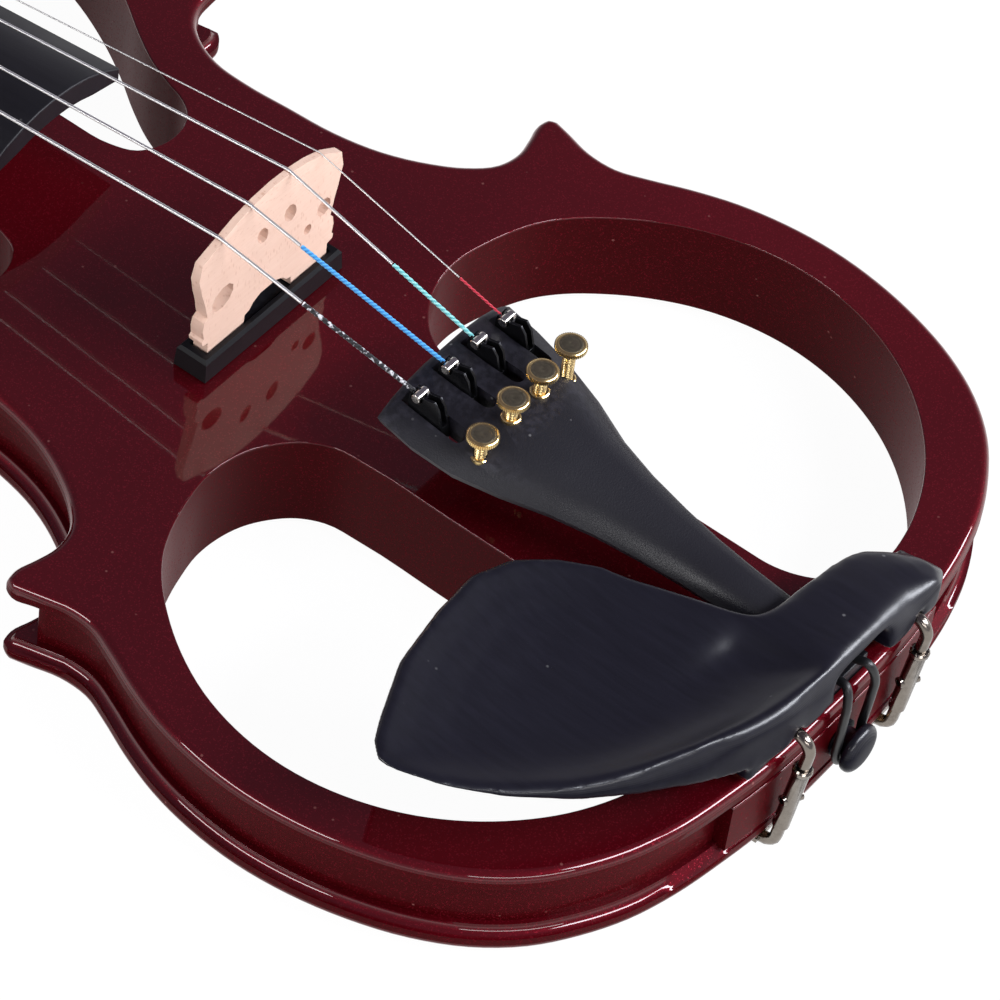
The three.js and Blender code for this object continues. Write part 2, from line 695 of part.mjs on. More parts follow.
/** A flange with a rounded outer edge. */
function flange(low, high) {
  const levels = [[low, 1], [low + edgeRadius, 0], [high - edgeRadius, 0], [high, 1]];
  return stack(levels.map(([z, share]) => {
    const ring = inset(bodyOutline, share * edgeRadius);
    return ring.map((p) => point(p.x, p.y, z));
  }));
}

// Neck geometry shared with the body and the strings
const nutAlong = stringLength;
const bodyEnd = bodyLength - tailToBridge;
const seatAt = (y) => bodyThickness
  + THREE.MathUtils.mapLinear(y, boardEnd, nutAlong, boardEndSeat, boardNutSeat);
const boardHalfAt = (y) => THREE.MathUtils.mapLinear(
  y, boardEnd, nutAlong, boardEndHalfWidth, boardNutHalfWidth,
);
const boardDrop = (x) => boardTopRadius - Math.sqrt(boardTopRadius ** 2 - x ** 2);
const boardCrownAt = (y) => seatAt(y) + boardEdgeThickness + boardDrop(boardHalfAt(y));
const pegboxStart = nutAlong + nutThickness;
const pegboxEnd = pegboxStart + pegboxLength;
const pegboxHalfAt = (y) => THREE.MathUtils.mapLinear(
  y, pegboxStart, pegboxEnd, pegboxNutHalfWidth, pegboxEndHalfWidth,
);
const pegboxRimAt = (y) => THREE.MathUtils.mapLinear(
  y, pegboxStart, pegboxEnd, pegboxRimNut, pegboxRimEnd,
);
const scrollFoot = scrollHeight - scrollRadius;
const pegboxBack = pegboxBackShares.map(([run, fall]) => [
  THREE.MathUtils.lerp(nutAlong, scrollAlong, run),
  THREE.MathUtils.lerp(pegboxNutFloor, scrollFoot, fall),
]);
const pegboxBackAt = (y) => fromTable(pegboxBack, y, 1);
const pegHeightAt = (y) => THREE.MathUtils.lerp(pegboxRimAt(y), pegboxBackAt(y), pegDepthShare);

// Body
const controlWall = controlPocketTreble;
const ribOutline = cleanInset(bodyOutline, grooveDepth);
const grooveLow = flangeThickness;
const grooveHigh = bodyThickness - flangeThickness;
const tailBlockOutline = (() => {
  const tail = bodyOutline.filter((p) => Math.abs(p.x) < grooveStopHalfWidth && p.y < -footFront);
  tail.sort((a, b) => a.x - b.x);
  const rim = tail.map((p) => flat(p.x, p.y));
  const inner = -footFront;
  const [first, last] = [rim[0], rim[rim.length - 1]];
  return [...rim, flat(last.x, inner), flat(first.x, inner)];
})();
const batteryPocket = {
  x0: -batteryPocketBass,
  x1: -batteryPocketBass + batteryLength + 2 * batteryEndGap,
  y0: batteryPocketTail,
  y1: batteryPocketTail + batteryPocketWidth,
};
const plate = {
  x0: controlPocketBass - plateLedge,
  x1: controlPocketTreble + plateLedge,
  y0: controlPocketTail - plateLedge,
  y1: controlPocketScroll + plateLedge,
};
const plateTop = plateInset + plateThickness;
const plateScrewPlaces = [
  [plate.x0 + plateScrewMargin, plate.y0 + plateScrewMargin],
  [plate.x1 - plateScrewMargin, plate.y0 + plateScrewMargin],
  [plate.x0 + plateScrewMargin, plate.y1 - plateScrewMargin],
  [plate.x1 - plateScrewMargin, plate.y1 - plateScrewMargin],
];
const lidAxisHeight = lidInset + lidThickness / 2;
const lidTail = batteryPocket.y0 + seatGap;
const lidAxisAlong = lidTail + lidEdgeRadius;
const lidScroll = batteryPocket.y1 - seatGap;
const lidMiddle = (batteryPocket.x0 + batteryPocket.x1) / 2;
const bodyCuts = [];
for (const opening of [lowerOpening, upperOpening]) {
  for (const loop of [opening, mirrored(opening)]) {
    bodyCuts.push(prism(loop, -cutOverrun, bodyThickness + cutOverrun));
  }
}
bodyCuts.push(box(
  batteryPocket.x0, batteryPocket.x1, batteryPocket.y0, batteryPocket.y1, -cutOverrun, pocketDepth,
));
bodyCuts.push(box(
  controlPocketBass, controlPocketTreble, controlPocketTail, controlPocketScroll,
  -cutOverrun, pocketDepth,
));
bodyCuts.push(box(
  plate.x0, plate.x1, plate.y0, plate.y1, -cutOverrun, plateTop + seatGap,
));
for (const [x, y] of plateScrewPlaces) {
  const depth = plateInset + plateScrewLength + seatGap;
  bodyCuts.push(bar(point(x, y, 0), point(x, y, depth), plateScrewRadius + turningGap, 8));
}
const hingeSocket = lidPinRadius + turningGap;
const hingeReach = lidPinLength + seatGap * 2;
bodyCuts.push(bar(
  point(batteryPocket.x0 - hingeReach, lidAxisAlong, lidAxisHeight),
  point(batteryPocket.x1 + hingeReach, lidAxisAlong, lidAxisHeight),
  hingeSocket, 10,
));
bodyCuts.push(bar(
  point(lidMiddle, batteryPocket.y1, -cutOverrun), point(lidMiddle, batteryPocket.y1, thumbNotchDepth),
  thumbNotchRadius, 16,
));
const leadStart = bodyThickness + cutOverrun;
bodyCuts.push(bar(
  point(leadAcross, 0, leadStart), point(leadAcross, 0, leadTurnHeight - leadHoleRadius),
  leadHoleRadius, 10,
));
bodyCuts.push(bar(
  point(leadAcross, -leadHoleRadius, leadTurnHeight),
  point(leadAcross, controlPocketTail + cutOverrun, leadTurnHeight),
  leadHoleRadius, 10,
));
for (const [y, bushing, nut, face] of [
  [outputJackAlong, outputBushingRadius, outputNutRadius, outputJackSpotFace],
  [phoneJackAlong, phoneBushingRadius, phoneNutRadius, phoneJackSpotFace],
]) {
  const far = bodyHalfWidth;
  bodyCuts.push(bar(
    point(controlWall - cutOverrun, y, jackHeight), point(far, y, jackHeight),
    bushing + seatGap, 16,
  ));
  bodyCuts.push(bar(
    point(face, y, jackHeight), point(far, y, jackHeight), nut + seatGap, 16,
  ));
}
const buttonHoleEnd = -tailToBridge + buttonShankLength + seatGap;
bodyCuts.push(bar(
  point(0, -tailToBridge - cutOverrun, buttonHeight), point(0, buttonHoleEnd, buttonHeight),
  buttonShankRadius + seatGap, 16,
));
const saddleTail = -tailToBridge + saddleBack;
const saddleNose = -tailToBridge + saddleFront;
bodyCuts.push(box(
  -saddleHalfWidth - seatGap, saddleHalfWidth + seatGap, saddleTail - seatGap, saddleNose + seatGap,
  bodyThickness - saddleDepth - seatGap, bodyThickness + cutOverrun,
));
const tenonStart = bodyEnd - heelTenonLength;
const tenonFloor = bodyThickness - heelTenonDepth;
bodyCuts.push(box(
  -heelTenonHalfWidth - seatGap, heelTenonHalfWidth + seatGap,
  tenonStart - seatGap, bodyEnd + cutOverrun,
  tenonFloor - seatGap, bodyThickness + cutOverrun,
));
piece("body", shaped([
  prism(ribOutline, grooveLow - cutOverrun, grooveHigh + cutOverrun),
  prism(tailBlockOutline, grooveLow - cutOverrun, grooveHigh + cutOverrun),
  flange(0, grooveLow),
  flange(grooveHigh, bodyThickness),
], bodyCuts), lacquer);

// Neck with pegbox and scroll
const neckStart = bodyEnd + seatGap;
const neckRing = ([run, depthShare, fullness]) => {
  const y = THREE.MathUtils.lerp(neckStart, nutAlong, run);
  const depth = THREE.MathUtils.lerp(0, heelDepth, depthShare);
  const half = boardHalfAt(y);
  const ring = [];
  for (let i = 0; i <= neckSidePoints * 2; i++) {
    const turn = (i / (neckSidePoints * 2)) * Math.PI;
    const across = Math.sign(Math.cos(turn)) * Math.abs(Math.cos(turn)) ** fullness;
    const down = Math.sin(turn) ** fullness;
    ring.push(point(across * half, y, seatAt(y) - down * depth));
  }
  return ring;
};
const neckRings = neckShares.map(neckRing);
const cheek = pegboxNutHalfWidth;
const scrollTopShare = [150, 130, 110, 90, 70, 50, 30, 10, -10, -30, -50, -70, -90];
const scrollPoints = scrollTopShare.map((degrees) => {
  const turn = THREE.MathUtils.degToRad(degrees);
  return flat(scrollAlong + scrollRadius * Math.cos(turn), scrollHeight + scrollRadius * Math.sin(turn));
});
const nutBlockStart = nutAlong - seatGap;
const sideProfile = [
  flat(nutBlockStart, seatAt(nutAlong)),
  flat(pegboxStart, seatAt(pegboxStart)),
  flat(pegboxStart + seatGap, pegboxRimAt(pegboxStart)),
  flat(pegboxEnd, pegboxRimAt(pegboxEnd)),
  ...scrollPoints,
  ...pegboxBack.map(([y, z]) => flat(y, z)).reverse(),
  flat(nutBlockStart, seatAt(nutAlong) - neckDepth),
];
const planOutline = [
  flat(cheek, nutBlockStart - cutOverrun), flat(cheek, pegboxStart),
  flat(pegboxEndHalfWidth, pegboxEnd), flat(scrollSpineHalfWidth, scrollAlong),
  flat(scrollSpineHalfWidth, scrollAlong + scrollRadius + cutOverrun),
];
const planLoop = [...planOutline, ...mirrored(planOutline)];
const head = common(
  prismX(sideProfile, -cheek, cheek),
  prism(planLoop, scrollFoot - cutOverrun, bodyThickness + cutOverrun),
);
const scrollTurns = scrollTurnShares.map(([size, along, up, reach]) => {
  const y = scrollAlong + along * scrollRadius;
  const z = scrollHeight + up * scrollRadius;
  const half = reach * scrollEyeReach;
  return bar(point(-half, y, z), point(half, y, z), size * scrollRadius, 20);
});
const cavityStart = pegboxStart + pegboxCavityStart;
const cavityEnd = pegboxStart + pegboxCavityEnd;
const cavityPlan = [
  flat(pegboxHalfAt(cavityStart) - pegboxWall, cavityStart),
  flat(pegboxHalfAt(cavityEnd) - pegboxWall, cavityEnd),
];
const cavitySide = [
  flat(cavityStart, bodyThickness + cutOverrun),
  flat(cavityStart, pegboxBackAt(cavityStart) + pegboxFloorThickness),
  ...pegboxBack.filter(([y]) => y > cavityStart && y < cavityEnd)
    .map(([y, z]) => flat(y, z + pegboxFloorThickness)),
  flat(cavityEnd, pegboxBackAt(cavityEnd) + pegboxFloorThickness),
  flat(cavityEnd, bodyThickness + cutOverrun),
];
const cavity = common(
  prism([...cavityPlan, ...mirrored(cavityPlan)], scrollFoot, bodyThickness + 2 * cutOverrun),
  prismX(cavitySide, -cheek, cheek),
);
const tenon = box(
  -heelTenonHalfWidth, heelTenonHalfWidth, tenonStart, neckStart + cutOverrun,
  tenonFloor, seatAt(bodyEnd) - seatGap,
);
const pegSide = [-1, -1, 1, 1];
const pegEnds = bassToTreble.map((i) => {
  const y = pegAlong[i];
  const half = pegboxHalfAt(y);
  const side = pegSide[i];
  return { y, z: pegHeightAt(y), half, side };
});
const pegHoles = pegEnds.map(({ y, z, half, side }) => bar(
  point(-side * (half + cutOverrun), y, z), point(side * (half + cutOverrun), y, z),
  pegRadius - pegTaper / 2 + turningGap, pegSides, pegRadius + pegTaper / 2 + turningGap,
));
piece("neck", shaped(
  [stack(neckRings), tenon, head, ...scrollTurns],
  [cavity, ...pegHoles],
), lacquer);

// Fingerboard, hollow below where it hangs over the body
const boardRing = (y, hollow) => {
  const half = boardHalfAt(y);
  const seat = seatAt(y) + seatGap;
  const ring = [];
  for (let i = 0; i <= boardArcPoints; i++) {
    const x = half * (1 - (2 * i) / boardArcPoints);
    ring.push(point(x, y, boardCrownAt(y) - boardDrop(x)));
  }
  const inner = half - boardHollowEdge;
  for (let i = 0; i <= boardArcPoints; i++) {
    const share = (2 * i) / boardArcPoints - 1;
    ring.push(point(share * (i === 0 || i === boardArcPoints ? half : inner), y,
      seat + hollow * (1 - share ** 2)));
  }
  return ring;
};
piece("fingerboard", stack([
  boardRing(boardEnd, boardHollow),
  boardRing(boardHollowEnd - boardHollowFade, boardHollow),
  boardRing(boardHollowEnd, 0),
  boardRing(nutAlong - seatGap, 0),
]), ebony);

// Nut, with one notch for each string
const nutDrop = (x) => boardDrop(x);
const stringAtNut = bassToTreble.map((i) => {
  const x = spread(nutSpacing, i);
  const top = boardCrownAt(nutAlong) + nutRise - nutDrop(x);
  return point(x, nutAlong, top - nutNotchDepth + stringNotchGap + stringRadius[i]);
});
const nutTop = Array.from({ length: boardArcPoints + 1 }, (_, i) => {
  const x = boardNutHalfWidth * (1 - (2 * i) / boardArcPoints);
  return flat(x, boardCrownAt(nutAlong) + nutRise - nutDrop(x));
});
const nutBlock = prismY([
  ...nutTop, flat(-boardNutHalfWidth, seatAt(nutAlong) + seatGap),
  flat(boardNutHalfWidth, seatAt(nutAlong) + seatGap),
], nutAlong, pegboxStart);

// Bridge
const bridgeTop = bodyThickness + bridgeHeight;
const bridgeArcAt = (x) => bridgeTop - bridgeArcRadius
  + Math.sqrt(bridgeArcRadius ** 2 - (x - bridgeArcShift) ** 2);
const stringAtBridge = bassToTreble.map((i) => {
  const x = stringAcrossBridge[i];
  return point(x, 0, bridgeArcAt(x) + stringRadius[i]);
});
const arcPoints = Array.from({ length: boardArcPoints + 1 }, (_, i) => {
  const x = -bridgeHalfWidth * (1 - (2 * i) / boardArcPoints);
  return flat(x, bridgeArcAt(x));
}).slice(1, -1);
const bridgeSide = bridgeSideShares.map(
  ([x, z]) => flat(x * bridgeHalfWidth, bodyThickness + z * bridgeHeight),
);
const bridgeLoop = [...arcPoints, ...bridgeSide, ...bridgeSide.map((p) => flat(-p.x, p.y)).reverse()];
const bridgeWedge = [
  flat(-bridgeFootThickness / 2, bodyThickness), flat(bridgeFootThickness / 2, bodyThickness),
  flat(bridgeTopThickness / 2, bridgeTop + cutOverrun),
  flat(-bridgeTopThickness / 2, bridgeTop + cutOverrun),
];
const holeLean = THREE.MathUtils.degToRad(bridgeHoleLean);
const bridgeCuts = bridgeHoleShares.map(([x, z, rx, rz]) => {
  const centre = flat(x * bridgeHalfWidth, bodyThickness + z * bridgeHeight);
  const hole = ellipse(centre.x, centre.y, rx * bridgeHalfWidth, rz * bridgeHeight, 10);
  hole.forEach((p) => p.rotateAround(centre, holeLean));
  return prismY(hole, -bridgeFootThickness, bridgeFootThickness);
});
for (const i of bassToTreble) {
  const at = stringAtBridge[i];
  const reach = bridgeFootThickness;
  bridgeCuts.push(bar(
    point(at.x, -reach, at.z), point(at.x, reach, at.z),
    stringRadius[i] + stringNotchGap, 8,
  ));
}
const bridgeBlank = common(
  prismY(bridgeLoop, -bridgeFootThickness, bridgeFootThickness),
  prismX(bridgeWedge, -bridgeHalfWidth - 2 * cutOverrun, bridgeHalfWidth + 2 * cutOverrun),
);
piece("bridge", shaped([bridgeBlank], bridgeCuts), maple);

// Pickup bar under the bridge, with the pickup strip in its channel
const housingBase = bodyThickness + seatGap;
const housingTop = bodyThickness + housingHeight;
const frustumRing = (half, width, z) => [
  point(-half, -width, z), point(half, -width, z), point(half, width, z), point(-half, width, z),
];
const channelHalfWidth = bridgeFootThickness / 2 + seatGap;
piece("pickup_housing", shaped([stack([
  frustumRing(housingHalfLength, housingHalfWidth, housingBase),
  frustumRing(
    housingHalfLength - housingBevel / 3, housingHalfWidth - housingBevel / 3,
    housingTop - housingBevel,
  ),
  frustumRing(housingHalfLength - housingBevel, housingHalfWidth - housingBevel, housingTop),
])], [
  box(
    -channelHalfLength, channelHalfLength, -channelHalfWidth, channelHalfWidth,
    bodyThickness + channelFloor, housingTop + cutOverrun,
  ),
  bar(
    point(leadAcross, 0, bodyThickness - cutOverrun),
    point(leadAcross, 0, bodyThickness + channelFloor + cutOverrun),
    leadHoleRadius, 10,
  ),
]), blackPlastic);
const piezoBase = bodyThickness + channelFloor + seatGap / 2;
const piezoTop = piezoBase + piezoThickness;
piece("pickup_strip", box(
  -piezoHalfLength, piezoHalfLength, -piezoHalfWidth, piezoHalfWidth, piezoBase, piezoTop,
), blackMetal);
const leadTop = piezoBase - seatGap;
const leadEnd = controlPocketTail + seatGap;
piece("pickup_lead", cord([
  point(leadAcross, 0, leadTop), point(leadAcross, 0, leadTurnHeight + leadHoleRadius),
  point(leadAcross, leadHoleRadius, leadTurnHeight),
  point(leadAcross, leadEnd + leadHoleRadius, leadTurnHeight),
], leadRadius, 6), nylon);

// Tailpiece
const tailpieceRun = (along) => (along - tailpieceFront) / tailpieceLength;
const tailpieceAt = (along, column) => fromTable(tailpieceShares, tailpieceRun(along), column);
const driftAt = (along) => tailpieceDrift * (1 - tailpieceRun(along));
const tailpieceTopAt = (x, along) => {
  const half = tailpieceAt(along, 1) * tailpieceHalfWidth;
  const edge = bodyThickness + tailpieceAt(along, 2) * tailpieceEdgeHeight;
  const crown = tailpieceAt(along, 3) * tailpieceCrown;
  return edge + crown * (1 - Math.min(Math.abs(x - driftAt(along)) / half, 1) ** crownPower);
};
const edgeShares = [1, 0.93, 0.8, 0.6, 0.3];
const tailpieceRing = ([run, widthShare, edgeShare, crownShare, thickShare]) => {
  const along = tailpieceFront + run * tailpieceLength;
  const y = -along;
  const drift = driftAt(along);
  const half = widthShare * tailpieceHalfWidth;
  const edge = bodyThickness + edgeShare * tailpieceEdgeHeight;
  const crown = crownShare * tailpieceCrown;
  const thick = thickShare * tailpieceThickness;
  const across = [...edgeShares, ...edgeShares.map((s) => -s).reverse()];
  const upper = across.map(
    (s) => point(drift + s * half, y, edge + crown * (1 - Math.abs(s) ** crownPower)),
  );
  const lower = across.map((s) => point(
    drift + s * (half - thick / 4), y,
    edge - thick * (1 - s ** 2 / 2) + crown * (1 - s ** 2) * tailpieceHollowShare,
  )).reverse();
  return [...upper, ...lower];
};
const slotAt = bassToTreble.map((i) => driftAt(screwAlong) + spread(slotSpacing, i));
const surfaceAt = (i, along) => tailpieceTopAt(slotAt[i], along);
const hooks = bassToTreble.map((i) => point(slotAt[i], -hookAlong, surfaceAt(i, hookAlong) + hookRise[i]));
const pivots = hooks.map((hook) => point(hook.x, -leverPivotAlong, hook.z - leverPivotDrop));
const tailpieceCuts = [];
for (const i of bassToTreble) {
  const x = slotAt[i];
  const low = bodyThickness;
  const high = surfaceAt(i, slotStart) + 3 * cutOverrun;
  const slotRear = -slotEnd + slotHalfWidth;
  tailpieceCuts.push(box(x - slotHalfWidth, x + slotHalfWidth, slotRear, -slotStart, low, high));
  tailpieceCuts.push(bar(
    point(x, slotRear, low), point(x, slotRear, high), slotHalfWidth, 12,
  ));
  tailpieceCuts.push(bar(
    point(x, -screwAlong, low), point(x, -screwAlong, high), screwRadius + turningGap, 12,
  ));
  const reach = leverHalfWidth + leverPinReach + seatGap;
  tailpieceCuts.push(bar(
    point(x - reach, pivots[i].y, pivots[i].z), point(x + reach, pivots[i].y, pivots[i].z),
    leverPinRadius + turningGap, 10,
  ));
}
const gutExitHeight = tailpieceTopAt(0, tailpieceFront + tailpieceLength) - gutExitDrop;
const tailpieceEnd = -(tailpieceFront + tailpieceLength);
const tailpieceStack = stack(tailpieceShares.map(tailpieceRing));
const gutBores = [-1, 1].map((side) => bar(
  point(side * gutSpread, tailpieceEnd - cutOverrun, gutExitHeight),
  point(side * gutSpread, tailpieceEnd + gutBoreLength, gutExitHeight),
  gutRadius + turningGap, 8,
));
piece("tailpiece", shaped([tailpieceStack], [...tailpieceCuts, ...gutBores]), ebony);

// Tuners: fork lever, string ball, threaded shank and knurled head for each string
const knurled = (x, y, radius, ridge, count) => Array.from({ length: count * 2 }, (_, k) => {
  const turn = (k / (count * 2)) * Math.PI * 2;
  const reach = radius - (k % 2) * ridge;
  return flat(x + reach * Math.cos(turn), y + reach * Math.sin(turn));
});
for (const i of bassToTreble) {
  const name = stringNames[i];
  const hook = hooks[i];
  const pivot = pivots[i];
  const x = slotAt[i];
  const humpTop = hook.z + leverHumpRise;
  const armTop = hook.z - leverArmDrop;
  const front = hook.y + leverFrontReach;
  const humpMiddle = -(leverPivotAlong + leverHumpEnd) / 2;
  const leverSide = [
    flat(front, pivot.z), flat(front, hook.z),
    flat(front - leverFrontReach / 4, hook.z + ballRadius),
    flat(hook.y + ballRadius, hook.z + ballRadius),
    flat(hook.y - ballRadius * 2, humpTop),
    flat(humpMiddle, humpTop + leverHumpRise / 2),
    flat(-leverHumpEnd + ballRadius, hook.z),
    flat(-leverHumpEnd, pivot.z + leverArmThickness),
    flat(-leverHumpEnd - ballRadius, armTop),
    flat(-screwAlong - screwRadius, armTop),
    flat(-screwAlong - screwRadius, armTop - leverArmThickness),
    flat(-leverHumpEnd + ballRadius, armTop - leverArmThickness),
    flat(-leverPivotAlong, pivot.z - leverPinRadius * 2),
  ];
  const ballRoom = ballRadius + ballGap;
  piece(`tuner_lever_${name}`, shaped([
    prismX(leverSide, x - leverHalfWidth, x + leverHalfWidth),
    bar(
      point(x - leverHalfWidth - leverPinReach, pivot.y, pivot.z),
      point(x + leverHalfWidth + leverPinReach, pivot.y, pivot.z), leverPinRadius, 10,
    ),
  ], [
    box(
      x - forkHalfGap, x + forkHalfGap, -leverHumpEnd - cutOverrun, front + cutOverrun,
      pivot.z + leverPinRadius * 2, humpTop + 2 * cutOverrun,
    ),
    bar(
      point(x - 2 * leverHalfWidth, hook.y, hook.z), point(x + 2 * leverHalfWidth, hook.y, hook.z),
      ballRoom, 12,
    ),
    box(
      x - 2 * leverHalfWidth, x + 2 * leverHalfWidth, hook.y - ballRoom, hook.y + ballRadius / 2,
      hook.z, humpTop + 2 * cutOverrun,
    ),
  ]), blackMetal);
  piece(`string_ball_${name}`, bar(
    point(x - ballLength / 2, hook.y, hook.z), point(x + ballLength / 2, hook.y, hook.z),
    ballRadius, 10,
  ), nickel);
  const surface = surfaceAt(i, screwAlong);
  const headTop = surface + screwHeadRise[i];
  const headLow = headTop - screwHeadThickness;
  piece(`tuner_screw_${name}`, bar(
    point(x, -screwAlong, armTop + seatGap), point(x, -screwAlong, headLow - seatGap / 3),
    screwRadius, 12,
  ), brass);
  piece(`tuner_head_${name}`, prism(
    knurled(x, -screwAlong, screwHeadRadius, knurlDepth, knurls), headLow, headTop,
  ), brass);
}

// Strings: from the fork over bridge and nut, and wound on the pegs
const pegCoils = pegEnds.map(({ y, z, side }, i) => {
  const radius = pegRadius + turningGap + stringRadius[i] + pegTaper / 2;
  const pitch = 2 * stringRadius[i] + coilGap;
  const count = coilTurns * coilStepsPerTurn;
  const from = stringAtNut[i];
  const fall = Math.atan2(from.z - z - radius, y - from.y);
  return Array.from({ length: count + 1 }, (_, k) => {
    const turn = -fall + (k / coilStepsPerTurn) * Math.PI * 2;
    const x = side * (pegCoilStart[i] + (k / coilStepsPerTurn) * pitch);
    return point(x, y + radius * Math.sin(turn), z + radius * Math.cos(turn));
  });
});

/** Least clear distance between turns of a winding, from points at least half a turn apart. */
function leastCoilGap(points, radius, stepsPerTurn) {
  let least = Infinity;
  points.forEach((a, i) => {
    points.slice(i + Math.ceil(stepsPerTurn / 2)).forEach((b) => {
      least = Math.min(least, a.distanceTo(b) - 2 * radius);
    });
  });
  return least;
}
pegCoils.forEach((coil, i) => {
  const gap = leastCoilGap(coil, stringRadius[i], coilStepsPerTurn);
  console.log(`least gap in the winding of string ${stringNames[i]}: ${gap.toFixed(2)} mm`);
});
for (const i of bassToTreble) {
  const hook = hooks[i];
  const apex = stringAtBridge[i];
  const start = point(hook.x, hook.y + ballRadius + ballGap, hook.z);
  const silkShare = THREE.MathUtils.mapLinear(silkStartAlong[i], start.y, 0, 0, 1);
  const silkEnd = start.clone().lerp(apex, silkShare);
  const wireStart = start.clone().lerp(apex, silkShare + seatGap / tailpieceFront);
  const nut = stringAtNut[i];
  const nutBack = point(nut.x, pegboxStart, nut.z - stringNotchGap);
  const path = [start, silkEnd, wireStart, apex, nut, nutBack, ...pegCoils[i]];
  const radii = path.map((_, k) => (k < 2 ? silkRadius[i] : stringRadius[i]));
  piece(`string_${stringNames[i]}`, cord(path, radii, stringSides), steelString);
}
const nutCuts = bassToTreble.map((i) => {
  const at = stringAtNut[i];
  const room = stringRadius[i] + stringNotchGap;
  return box(
    at.x - room, at.x + room, nutAlong - cutOverrun, pegboxStart + cutOverrun,
    at.z - room - stringNotchGap, at.z + room + nutRise,
  );
});
piece("nut", shaped([nutBlock], nutCuts), ebony);

// Pegs
pegEnds.forEach(({ y, z, half, side }, i) => {
  const direction = alongX.clone().multiplyScalar(side);
  const small = pegRadius - pegTaper / 2;
  const large = pegRadius + pegTaper / 2;
  const run = 2 * half + pegEndReach + pegShoulderReach;
  const collarEnd = run + pegCollarLength;
  const neckEnd = collarEnd + pegNeckLength;
  const headMiddle = neckEnd + pegHeadHalfLength - pegHeadBevel;
  const start = point(-side * (half + pegEndReach), y, z);
  const shaft = turned(start, direction, [
    [0, 0], [0, small], [run, large], [run, pegCollarRadius], [collarEnd, pegCollarRadius],
    [collarEnd + pegNeckLength / 3, pegNeckRadius], [neckEnd + pegHeadHalfLength, pegNeckRadius],
    [neckEnd + pegHeadHalfLength, 0],
  ], pegSides);
  const outline = new THREE.Shape(ellipse(
    0, 0, pegHeadHalfLength - pegHeadBevel, pegHeadHalfWidth - pegHeadBevel, pegSides,
  ));
  const leaf = new THREE.ExtrudeGeometry(outline, {
    depth: pegHeadThickness, bevelThickness: pegHeadBevel, bevelSize: pegHeadBevel, bevelSegments: 1,
  });
  leaf.translate(0, 0, -pegHeadThickness / 2);
  leaf.rotateX(Math.PI / 2);
  leaf.translate(-side * (half + pegEndReach) + side * headMiddle, y, z);
  const tipStart = -side * (half + pegEndReach) + side * (headMiddle + pegHeadHalfLength - pegPinRadius);
  const pip = new THREE.SphereGeometry(pegPinRadius, 6, 4).translate(tipStart + side * pegPinRadius, y, z);
  piece(`peg_${stringNames[i]}`, shaped([shaft, mergedLeaf(leaf), pip]), ebony);
});

/** Gives an extruded leaf an index so that it can be joined. */
function mergedLeaf(geometry) {
  geometry.deleteAttribute("normal");
  geometry.deleteAttribute("uv");
  return mergeVertices(geometry, mergeTolerance);
}

// End button and tail gut
const buttonFace = -tailToBridge - seatGap;
const buttonSteps = [
  buttonCollarLength, buttonNeckLength, buttonHeadLength, buttonDomeLength,
];
const buttonAt = (count) => buttonShankLength + seatGap
  + buttonSteps.slice(0, count).reduce((sum, step) => sum + step, 0);
piece("end_button", turned(
  point(0, -tailToBridge + buttonShankLength, buttonHeight), alongY.clone().negate(), [
    [0, 0], [0, buttonShankRadius * buttonTaperShare], [buttonAt(0), buttonShankRadius],
    [buttonAt(0), buttonCollarRadius], [buttonAt(1), buttonCollarRadius],
    [buttonAt(1), buttonNeckRadius], [buttonAt(2), buttonNeckRadius],
    [buttonAt(2), buttonHeadRadius - buttonCollarLength / 2],
    [buttonAt(2) + buttonCollarLength / 2, buttonHeadRadius],
    ...buttonDomeShares.map(([run, reach]) => [
      buttonAt(3) + run * buttonDomeLength, reach * buttonHeadRadius,
    ]),
  ], 16,
), ebony);
const gutLoopAlong = buttonFace - buttonCollarLength - buttonNeckLength / 2;
const gutLoopRadius = buttonNeckRadius + turningGap + gutRadius;
const gutHalf = (side) => [
  point(side * gutSpread, tailpieceEnd + gutBoreLength - seatGap, gutExitHeight),
  point(side * gutSpread, tailpieceEnd, gutExitHeight),
  ...gutShares.map(([spreadShare, outShare, dropShare]) => point(
    side * gutSpread * spreadShare, -tailToBridge - gutBulge * outShare,
    gutExitHeight - gutBulge * dropShare,
  )),
  point(side * gutLoopRadius, gutLoopAlong, buttonHeight + gutLoopRadius * gutLoopShare),
  point(side * gutLoopRadius, gutLoopAlong, buttonHeight),
];
const underNeck = underNeckShares.map((share) => {
  const turn = share * Math.PI;
  return point(
    gutLoopRadius * Math.cos(turn), gutLoopAlong, buttonHeight - gutLoopRadius * Math.sin(turn),
  );
});
const gutPath = [...gutHalf(1), ...underNeck, ...gutHalf(-1).reverse()];
const gutCurve = new THREE.CatmullRomCurve3(gutPath, false, "centripetal");
const gutPoints = Array.from(
  { length: gutPath.length * 2 - 1 }, (_, i) => gutCurve.getPoint(i / (gutPath.length * 2 - 2)),
);
piece("tail_gut", cord(gutPoints, gutRadius, gutSides), nylon);

// Saddle
const saddleTop = bodyThickness + saddleRise;
piece("saddle", prismX([
  flat(saddleTail, bodyThickness - saddleDepth), flat(saddleNose, bodyThickness - saddleDepth),
  flat(saddleNose, bodyThickness + saddleRise / 3), flat((saddleTail + saddleNose) / 2, saddleTop),
  flat(saddleTail, saddleTop),
], -saddleHalfWidth, saddleHalfWidth), ebony);

